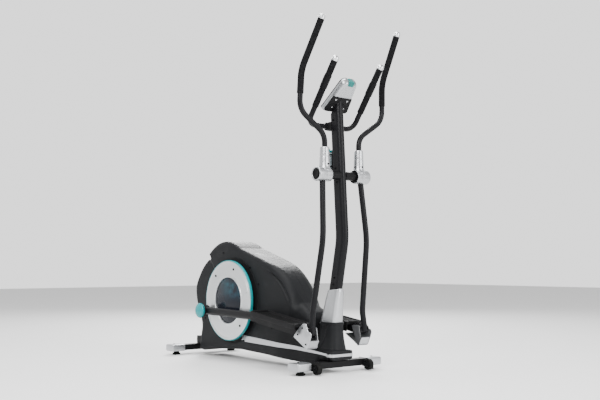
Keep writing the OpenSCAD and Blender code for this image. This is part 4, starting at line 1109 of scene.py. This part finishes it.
def console_outline():
    """Outline of the console's face: wide and square below, narrow and round above."""
    low, high, up = 0.070, 0.046, 0.172
    return np.concatenate([arc((low - 0.014, 0.014), 0.014, 270, 355, 8),
                           arc((high - 0.026, up - 0.026), 0.026, 10, 90, 12),
                           arc((0.026 - high, up - 0.026), 0.026, 90, 170, 12),
                           arc((0.014 - low, 0.014), 0.014, 185, 270, 8)])


def build_console():
    """Shell with its ledge, face with a sunk window, clip, screws, digits and keys."""
    outline = console_outline()
    loss = rounded(0.008)

    def back(u, v, d):
        """A bulge above the ledge, less the rounded edge and a groove round it."""
        bulge = 0.0122 * smooth_step(0.076, 0.088, v) * smooth_step(0.0, 0.012, d)
        groove = 0.0012 * np.exp(-(((d - 0.016) / 0.0016) ** 2)) * smooth_step(0.09, 0.10, v)
        return 0.0235 + bulge - loss(d) - groove

    parts = relief(outline, 0.0035, [0.0008, 0.002, 0.0038, 0.006, 0.009, 0.0125, 0.0155, 0.018], back,
                   0.0072, on_console(1))
    parts.append(block(console_spot(0.001, 0, -0.0034), (0.030, 0.116, 0.0066), CONSOLE_AXES, 8, 40))
    parts.append(block(console_spot(-0.0126, 0, 0.0002), (0.0030, 0.116, 0.014), CONSOLE_AXES, 8, 40))
    piece("console_shell", parts, "console grey", "frame", ["console_back"], 40)

    u0, v0, u1, v1 = CONSOLE_SCREEN

    def front(u, v, d):
        """Flat, less the rounded edge, the sunk window and a hollow under each key."""
        inside = np.minimum(np.minimum(u - u0, u1 - u), np.minimum(v - v0, v1 - v))
        keys = np.minimum(np.hypot(u + 0.020, v - 0.034), np.hypot(u - 0.020, v - 0.034))
        window = 0.0034 * smooth_step(-0.0012, 0.0002, inside)
        return -rounded(0.003)(d) - (window + 0.0030 * (1 - smooth_step(0.0082, 0.0094, keys)))

    depths = [0.0008, 0.0018, 0.003, 0.0045]
    parts = relief(outline, 0.0024, depths, front, -0.0068, on_console(-1))
    piece("console_face", parts, "console black", "frame", ["console_front"], 30)
    clip = [block(console_spot(0.0310, 0, 0.160), (0.0150, 0.034, 0.024), CONSOLE_AXES, 6),
            block(console_spot(0.0200, 0, 0.1705), (0.0340, 0.030, 0.0050), CONSOLE_AXES, 6)]
    piece("console_clip", clip, "clip teal", "frame")
    heads = [screw(console_spot(0.0310, s * 0.034, 0.068), CONSOLE_AXES[0], 0.0052, 0.0026)
             for s in (1, -1)]
    heads += [screw(console_spot(0.0310, s * 0.034, 0.026), CONSOLE_AXES[0], 0.0044, 0.0022)
              for s in (1, -1)]
    piece("console_screws", heads, "steel", "frame")
    glyphs = []
    strokes = {"top": (0, 1, 1), "mid": (0, 0, 1), "low": (0, -1, 1),
               "a": (-1, 0.5, 0), "b": (1, 0.5, 0), "c": (-1, -0.5, 0), "d": (1, -0.5, 0)}
    digits = ("top low a b c d", "b d", "top mid low b c", "top mid low b d")
    for row, (up, size) in enumerate(((0.118, 0.0062), (0.092, 0.0044))):
        for k in range(4):
            where = (-0.0215 + k * 0.0145, up)
            for s in digits[(k + row) % 4].split():
                dx, dz, flat = strokes[s]
                long, thin = size * 0.85, size * 0.2
                box = (0.0006, long if flat else thin, thin if flat else long)
                centre = console_spot(0.00045, where[0] + dx * size * 0.5, where[1] + dz * size)
                glyphs.append(block(centre, box, CONSOLE_AXES, 8, 8))
    piece("display_digits", glyphs, "ink", "frame")
    for name, s in (("mode", -1), ("set", 1)):
        lit = [(0, -0.0005), (0.0079, -0.0005), (0.0079, 0.0078), (0.0070, 0.0088), (0.0045, 0.0086),
               (0, 0.0080)]
        key = lathe(round_profile(lit, 0.0006, 2), console_spot(0.0050, s * 0.020, 0.034),
                    -CONSOLE_AXES[0], 40)
        piece(f"{name}_key", [key], "console grey", f"{name}_button", [f"{name}_button"])


# ---- Stabilizers, feet and wheels ----


def build_stabilizers():
    """Rounded tubes with silver end caps; the caps' ends are drawn in over the last few millimetres."""
    for name, x in (("front", FRONT_AXIS), ("rear", REAR_AXIS)):
        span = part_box(f"{name}_stabilizer")[1][1] + 0.003
        tube_half = (0.0248, 0.0158)
        rows = [((x, y, STAB_Z), (1, 0, 0), (0, 0, 1), *tube_half)
                for y in np.linspace(-span + 0.03, span - 0.03, 12)]
        piece(f"{name}_foot_tube", [band(rows, 9)], "frame", "frame", [f"{name}_stabilizer"])
        parts = []
        for side in (1, -1):
            inner = span - 0.076
            ys = [inner, inner + 0.0012, inner + 0.004, inner + 0.02, span - 0.012, span - 0.006,
                  span - 0.0025,
                  span - 0.0006, span]
            ks = [0.955, 0.985, 1.0, 1.0, 1.0, 0.99, 0.965, 0.92, 0.86]
            parts.append(band([((x, side * y, STAB_Z), (1, 0, 0), (0, 0, 1), 0.0388 * k, 0.0188 * k)
                               for y, k in zip(ys, ks)], 6))
        piece(f"{name}_foot_caps", parts, "silver", "frame",
              ["stabilizer_caps"] if name == "front" else ())
        pads = []
        for side in (1, -1):
            pad = [(0, 0), (0.0205, 0), (0.0218, 0.0014), (0.0218, 0.0035), (0.0208, 0.0040),
                   (0.0208, 0.0048),
                   (0.0218, 0.0053), (0.0216, 0.0078), (0.0196, 0.0092), (0.0150, 0.0096),
                   (0.0150, 0.0180), (0, 0.0184)]
            pads.append(lathe(round_profile(pad, 0.0005, 2), (x, side * (span - 0.044), 0), (0, 0, 1), 56))
        piece(f"{name}_foot_pads", pads, "rubber", "frame",
              ["foot_pads"] if name == "front" else ())
        bolts = [screw((x, side * (span - 0.030), STAB_Z + 0.0186), (0, 0, 1), 0.005, 0.003)
                 for side in (1, -1)]
        piece(f"{name}_cap_bolts", bolts, "dark gloss", "frame")
    plug = [block((REAR_AXIS - 0.0298, 0, 0.073), (0.008, 0.058, 0.038), AXES, 9)]
    piece("rail_plug", plug, "tray", "frame")
    welds = [tube([(x, y, 0.0535) for y in np.linspace(-0.029, 0.029, 40)],
                  0.0022 + 0.0005 * np.sin(np.arange(40) * 2.4), 12)
             for x in (REAR_AXIS + 0.0252, REAR_AXIS - 0.0252)]
    piece("rail_welds", welds, "frame", "frame")


def build_wheel(side_name):
    """Transport roller with grooves in its tread, turned round its axle, and its bolt heads."""
    side = SIDES[side_name]
    c = pivot(f"{side_name}_wheel_spin")
    half = 0.011
    profile = [(0.0041, -half + 0.001), (0.0090, -half), (0.0100, -half + 0.0022), (0.0165, -half + 0.0026),
               (0.0178, -half), (0.0222, -half), (0.0246, -half + 0.0024), (0.0250, -0.004),
               (0.0242, -0.0034),
               (0.0242, -0.0022), (0.0250, -0.0016), (0.0250, 0.0016), (0.0242, 0.0022), (0.0242, 0.0034),
               (0.0250, 0.004), (0.0246, half - 0.0024), (0.0222, half), (0.0178, half),
               (0.0165, half - 0.0026),
               (0.0100, half - 0.0022), (0.0090, half), (0.0041, half - 0.001)]
    centre = (c[0], side * abs(c[1]), c[2])
    piece(f"roller_{side_name}", [lathe_loop(round_profile(profile, 0.0006, 2), centre, (0, side, 0), 64)],
          "rubber",
          f"{side_name}_wheel", [f"wheel_{side_name}"])
    heads = [screw((centre[0], side * abs(c[1]) + k * 0.0150, centre[2]), (0, k, 0), 0.0068, 0.0036)
             for k in (1, -1)]
    piece(f"roller_bolt_{side_name}", heads, "dark gloss", "frame")


def build_bottle():
    """Bottle with a waist, its screw top and the ribs round the top."""
    low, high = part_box("bottle")
    centre = ((low[0] + high[0]) / 2, 0, low[2])
    r, h = (high[0] - low[0]) / 2, high[2] - low[2]
    body = [(0, 0.0012), (0.020, 0.0004), (r - 0.004, 0.0004), (r - 0.0006, 0.004), (r - 0.0006, 0.030),
            (r - 0.0030, 0.034),
            (r - 0.0030, 0.040), (r - 0.0006, 0.044), (r - 0.0006, h - 0.042), (r - 0.005, h - 0.034),
            (0.0215, h - 0.026),
            (0.0190, h - 0.021), (0.0, h - 0.021)]
    piece("drink_bottle", [lathe(round_profile(body, 0.003, 4), centre, (0, 0, 1), 80)], "bottle", "bottle",
          ["bottle"])
    cap = [(0, h - 0.0215), (0.0215, h - 0.0215), (0.0220, h - 0.0195), (0.0218, h - 0.0125),
           (0.0195, h - 0.0105),
           (0.0085, h - 0.0088), (0.0072, h - 0.0040), (0.0082, h - 0.0030), (0.0078, h - 0.0006), (0, h)]
    piece("bottle_top", [lathe(round_profile(cap, 0.0008, 2), centre, (0, 0, 1), 64)], "teal", "bottle")
    ribs = [block((centre[0] + 0.0216 * math.cos(a), 0.0216 * math.sin(a), low[2] + h - 0.0165),
                  (0.0012, 0.0016, 0.007),
                  AXES, 4, 8) for a in np.linspace(0, 2 * math.pi, 36, endpoint=False)]
    piece("bottle_top_ribs", ribs, "teal", "bottle")


# ---- Stage ----


def aim(obj, place, towards):
    """Puts a lamp or camera somewhere and points its -Z at a place."""
    obj.location = place
    obj.rotation_euler = (Vector(towards) - Vector(place)).to_track_quat("-Z", "Y").to_euler()


def area_light(name, place, towards, power, width, height):
    """A soft rectangular lamp."""
    data = bpy.data.lights.new(name, "AREA")
    data.shape, data.size, data.size_y, data.energy = "RECTANGLE", width, height, power
    lamp = bpy.data.objects.new(name, data)
    bpy.context.scene.collection.objects.link(lamp)
    aim(lamp, place, towards)


def build_stage():
    """Camera, pale floor, surroundings that darken upwards, and four soft lamps."""
    look = bpy.context.scene.trainer_stage
    camera = bpy.data.objects.new("camera", bpy.data.cameras.new("camera"))
    bpy.context.scene.collection.objects.link(camera)
    place = Vector((FRONT_AXIS + 2.9231, -2.5494, 0.4817))
    across, up = look.camera_across, look.camera_up
    aim(camera, place, place + Vector((math.cos(up) * math.cos(across), math.cos(up) * math.sin(across),
                                       math.sin(up))))
    camera.data.lens, camera.data.sensor_width = look.lens, 36
    camera.data.clip_end = 100
    bpy.context.scene.camera = camera
    s = np.linspace(-14, 14, 29)
    x, y = np.meshgrid(s, s, indexing="ij")
    points, faces = grid(np.stack([x, y, np.full_like(x, -0.0004)], -1), ring=False)
    mesh = bpy.data.meshes.new("floor")
    mesh.from_pydata(points.tolist(), [], faces)
    floor = bpy.data.objects.new("floor", mesh)
    bpy.context.scene.collection.objects.link(floor)
    mesh.materials.append(floor_paint())
    world = bpy.data.worlds.new("studio")
    bpy.context.scene.world = world
    world.use_nodes = True
    tree = world.node_tree
    background, coords = tree.nodes["Background"], tree.nodes.new("ShaderNodeTexCoord")
    product = tree.nodes.new("ShaderNodeMath")
    product.operation = "MULTIPLY"
    fades = (((0, 0, 1), (0.35, 0.9, look.sky, look.sky * 0.4)), ((-0.78, 0.62, 0), (-0.9, 0.6, 0.4, 1.0)))
    for k, (towards, limits) in enumerate(fades):
        dot, fade = tree.nodes.new("ShaderNodeVectorMath"), tree.nodes.new("ShaderNodeMapRange")
        dot.operation = "DOT_PRODUCT"
        dot.inputs[1].default_value = towards
        for key, v in zip(("From Min", "From Max", "To Min", "To Max"), limits):
            fade.inputs[key].default_value = v
        tree.links.new(coords.outputs["Generated"], dot.inputs[0])
        tree.links.new(dot.outputs["Value"], fade.inputs["Value"])
        tree.links.new(fade.outputs[0], product.inputs[k])
    tree.links.new(product.outputs[0], background.inputs["Strength"])
    background.inputs["Color"].default_value = (1, 1, 1, 1)
    area_light("key", (2.6, -3.4, 3.2), (0, 0, 0.6), look.key_power, 2.2, 2.2)
    area_light("front fill", (4.2, 1.0, 1.6), (0.2, 0, 0.7), look.key_power * 0.5, 1.6, 2.6)
    area_light("back rim", (-3.0, 2.4, 2.8), (0, 0, 0.7), look.key_power * 0.7, 1.6, 1.6)
    area_light("top", (0.2, -0.4, 4.0), (0, 0, 0.5), look.key_power * 0.6, 2.5, 2.5)


def finish_cad_nodes():
    """Gives each CAD node that stays its finish."""
    for key, names in CAD_FINISHES.items():
        for name in names:
            NODES[name].data.materials.clear()
            NODES[name].data.materials.append(FINISHES[key]())


# ---- Settings ----


class TRAINER_PG_covers(bpy.types.PropertyGroup):
    edge_round: bpy.props.FloatProperty(name="Edge radius", description="Rounding of the housing's edge",
                                        default=0.022, unit="LENGTH")
    tail_step: bpy.props.FloatProperty(name="Tail step",
                                       description="How far the tail lies below the upper shell",
                                       default=0.009, unit="LENGTH")
    strip_thickness: bpy.props.FloatProperty(name="Strip thickness",
                                             description="Half thickness of the silver strip",
                                             default=0.0022, unit="LENGTH")


class TRAINER_PG_crank(bpy.types.PropertyGroup):
    rim_width: bpy.props.FloatProperty(name="Rim width", description="Width of the coloured rim",
                                       default=0.003,
                                       unit="LENGTH")
    # colours of the painted reflection on the dome's upper front part
    dome_reflection_blue: bpy.props.FloatVectorProperty(name="Dome blue",
                                             description="First colour of the dome's cloud", size=3,
                                             default=(0.018, 0.075, 0.13), subtype="COLOR")
    dome_reflection_green: bpy.props.FloatVectorProperty(name="Dome green",
                                              description="Second colour of the dome's cloud", size=3,
                                              default=(0.013, 0.075, 0.082), subtype="COLOR")


class TRAINER_PG_stage(bpy.types.PropertyGroup):
    lens: bpy.props.FloatProperty(name="Lens", description="Focal length", default=50.64,
                                  subtype="DISTANCE_CAMERA")
    camera_across: bpy.props.FloatProperty(name="Camera heading", description="Heading of the view from +X",
                                           default=2.46641382, subtype="ANGLE")
    camera_up: bpy.props.FloatProperty(name="Camera pitch", description="Upward tilt of the view",
                                       default=0.0772,
                                       subtype="ANGLE")
    key_power: bpy.props.FloatProperty(name="Key light", description="Power of the key light",
                                       default=260.0, unit="POWER")
    sky: bpy.props.FloatProperty(name="Sky", description="Strength of the white surroundings", default=1.7)


def both_sides(build):
    """Runs a builder for the left and the right."""
    for side_name in SIDES:
        build(side_name)


class TRAINER_OT_stage(bpy.types.Operator):
    """Camera, floor and lights."""

    bl_idname = "trainer.stage"
    bl_label = "Stage"
    bl_options = {"REGISTER", "UNDO"}

    def execute(self, context):
        build_stage()
        return {"FINISHED"}


class TRAINER_OT_cad_finishes(bpy.types.Operator):
    """Finishes of the CAD nodes that stay."""

    bl_idname = "trainer.cad_finishes"
    bl_label = "Frame finishes"
    bl_options = {"REGISTER", "UNDO"}

    def execute(self, context):
        finish_cad_nodes()
        return {"FINISHED"}


class TRAINER_OT_housing(bpy.types.Operator):
    """Both halves of the drive's housing."""

    bl_idname = "trainer.housing"
    bl_label = "Housing"
    bl_options = {"REGISTER", "UNDO"}

    def execute(self, context):
        both_sides(build_housing)
        return {"FINISHED"}


class TRAINER_OT_strip(bpy.types.Operator):
    """Silver strip round the nose."""

    bl_idname = "trainer.strip"
    bl_label = "Side strip"
    bl_options = {"REGISTER", "UNDO"}

    def execute(self, context):
        build_strip()
        return {"FINISHED"}


class TRAINER_OT_column_covers(bpy.types.Operator):
    """Foot housing and sleeve."""

    bl_idname = "trainer.column_covers"
    bl_label = "Column covers"
    bl_options = {"REGISTER", "UNDO"}

    def execute(self, context):
        build_column_covers()
        return {"FINISHED"}


class TRAINER_OT_discs(bpy.types.Operator):
    """Rings, rims, domes and screws."""

    bl_idname = "trainer.discs"
    bl_label = "Crank discs"
    bl_options = {"REGISTER", "UNDO"}

    def execute(self, context):
        both_sides(build_disc)
        return {"FINISHED"}


class TRAINER_OT_pin_caps(bpy.types.Operator):
    """Caps and collars on the crank pins."""

    bl_idname = "trainer.pin_caps"
    bl_label = "Pin caps"
    bl_options = {"REGISTER", "UNDO"}

    def execute(self, context):
        both_sides(build_pin_cap)
        return {"FINISHED"}


class TRAINER_OT_footplates(bpy.types.Operator):
    """Trays, studs and bolts."""

    bl_idname = "trainer.footplates"
    bl_label = "Footplates"
    bl_options = {"REGISTER", "UNDO"}

    def execute(self, context):
        both_sides(build_footplate)
        return {"FINISHED"}


class TRAINER_OT_joint_covers(bpy.types.Operator):
    """Shells over the arm joints."""

    bl_idname = "trainer.joint_covers"
    bl_label = "Joint covers"
    bl_options = {"REGISTER", "UNDO"}

    def execute(self, context):
        both_sides(build_joint_cover)
        return {"FINISHED"}


class TRAINER_OT_tee_covers(bpy.types.Operator):
    """Barrels and sleeves at the pivots."""

    bl_idname = "trainer.tee_covers"
    bl_label = "Tee covers"
    bl_options = {"REGISTER", "UNDO"}

    def execute(self, context):
        both_sides(build_tee_cover)
        return {"FINISHED"}


class TRAINER_OT_tip_caps(bpy.types.Operator):
    """Polished caps on all four tips."""

    bl_idname = "trainer.tip_caps"
    bl_label = "Tip caps"
    bl_options = {"REGISTER", "UNDO"}

    def execute(self, context):
        build_tip_caps()
        return {"FINISHED"}


class TRAINER_OT_sensors(bpy.types.Operator):
    """Housings and plates."""

    bl_idname = "trainer.sensors"
    bl_label = "Pulse sensors"
    bl_options = {"REGISTER", "UNDO"}

    def execute(self, context):
        build_sensors()
        return {"FINISHED"}


class TRAINER_OT_clamp(bpy.types.Operator):
    """Handlebar saddle and bolts."""

    bl_idname = "trainer.clamp"
    bl_label = "Saddle"
    bl_options = {"REGISTER", "UNDO"}

    def execute(self, context):
        build_clamp()
        return {"FINISHED"}


class TRAINER_OT_collars(bpy.types.Operator):
    """Foam rings and column bolts."""

    bl_idname = "trainer.collars"
    bl_label = "Collars and bolts"
    bl_options = {"REGISTER", "UNDO"}

    def execute(self, context):
        build_collars()
        return {"FINISHED"}


class TRAINER_OT_console(bpy.types.Operator):
    """Shell, face, clip, keys and display."""

    bl_idname = "trainer.console"
    bl_label = "Console"
    bl_options = {"REGISTER", "UNDO"}

    def execute(self, context):
        build_console()
        return {"FINISHED"}


class TRAINER_OT_stabilizers(bpy.types.Operator):
    """Tubes, caps and pads."""

    bl_idname = "trainer.stabilizers"
    bl_label = "Stabilizers"
    bl_options = {"REGISTER", "UNDO"}

    def execute(self, context):
        build_stabilizers()
        return {"FINISHED"}


class TRAINER_OT_wheels(bpy.types.Operator):
    """Transport rollers."""

    bl_idname = "trainer.wheels"
    bl_label = "Wheels"
    bl_options = {"REGISTER", "UNDO"}

    def execute(self, context):
        both_sides(build_wheel)
        return {"FINISHED"}


class TRAINER_OT_bottle(bpy.types.Operator):
    """Drink bottle and its top."""

    bl_idname = "trainer.bottle"
    bl_label = "Bottle"
    bl_options = {"REGISTER", "UNDO"}

    def execute(self, context):
        build_bottle()
        return {"FINISHED"}


STEPS = [
    TRAINER_OT_stage,
    TRAINER_OT_cad_finishes,
    TRAINER_OT_housing,
    TRAINER_OT_strip,
    TRAINER_OT_column_covers,
    TRAINER_OT_discs,
    TRAINER_OT_pin_caps,
    TRAINER_OT_footplates,
    TRAINER_OT_joint_covers,
    TRAINER_OT_tee_covers,
    TRAINER_OT_tip_caps,
    TRAINER_OT_sensors,
    TRAINER_OT_clamp,
    TRAINER_OT_collars,
    TRAINER_OT_console,
    TRAINER_OT_stabilizers,
    TRAINER_OT_wheels,
    TRAINER_OT_bottle,
]


class TRAINER_PT_panel(bpy.types.Panel):
    """Settings and building steps of the trainer."""

    bl_idname = "TRAINER_PT_panel"
    bl_label = "Trainer"
    bl_space_type = "VIEW_3D"
    bl_region_type = "UI"
    bl_category = "Trainer"

    def draw(self, context):
        for group in (context.scene.trainer_covers, context.scene.trainer_crank,
                      context.scene.trainer_stage):
            for key in group.__annotations__:
                self.layout.prop(group, key)
        for step in STEPS:
            self.layout.operator(step.bl_idname)


GROUPS = {"trainer_covers": TRAINER_PG_covers, "trainer_crank": TRAINER_PG_crank,
          "trainer_stage": TRAINER_PG_stage}


def register():
    """Registers every class and hangs the settings on the scene."""
    for cls in (*GROUPS.values(), *STEPS, TRAINER_PT_panel):
        bpy.utils.register_class(cls)
    for key, cls in GROUPS.items():
        setattr(bpy.types.Scene, key, bpy.props.PointerProperty(type=cls))


def unregister():
    """Takes everything back out."""
    for key in GROUPS:
        delattr(bpy.types.Scene, key)
    for cls in (TRAINER_PT_panel, *STEPS[::-1], *GROUPS.values()):
        bpy.utils.unregister_class(cls)


def main():
    """Builds all pieces in order."""
    register()
    look = bpy.context.scene.trainer_crank
    # colours of the dome's painted reflection
    CRANK_LOOK.dome_reflection_blue, CRANK_LOOK.dome_reflection_green = tuple(look.dome_reflection_blue), tuple(look.dome_reflection_green)
    for step in STEPS:
        getattr(bpy.ops.trainer, step.bl_idname.split(".")[1])()


if __name__ == "__main__":
    main()
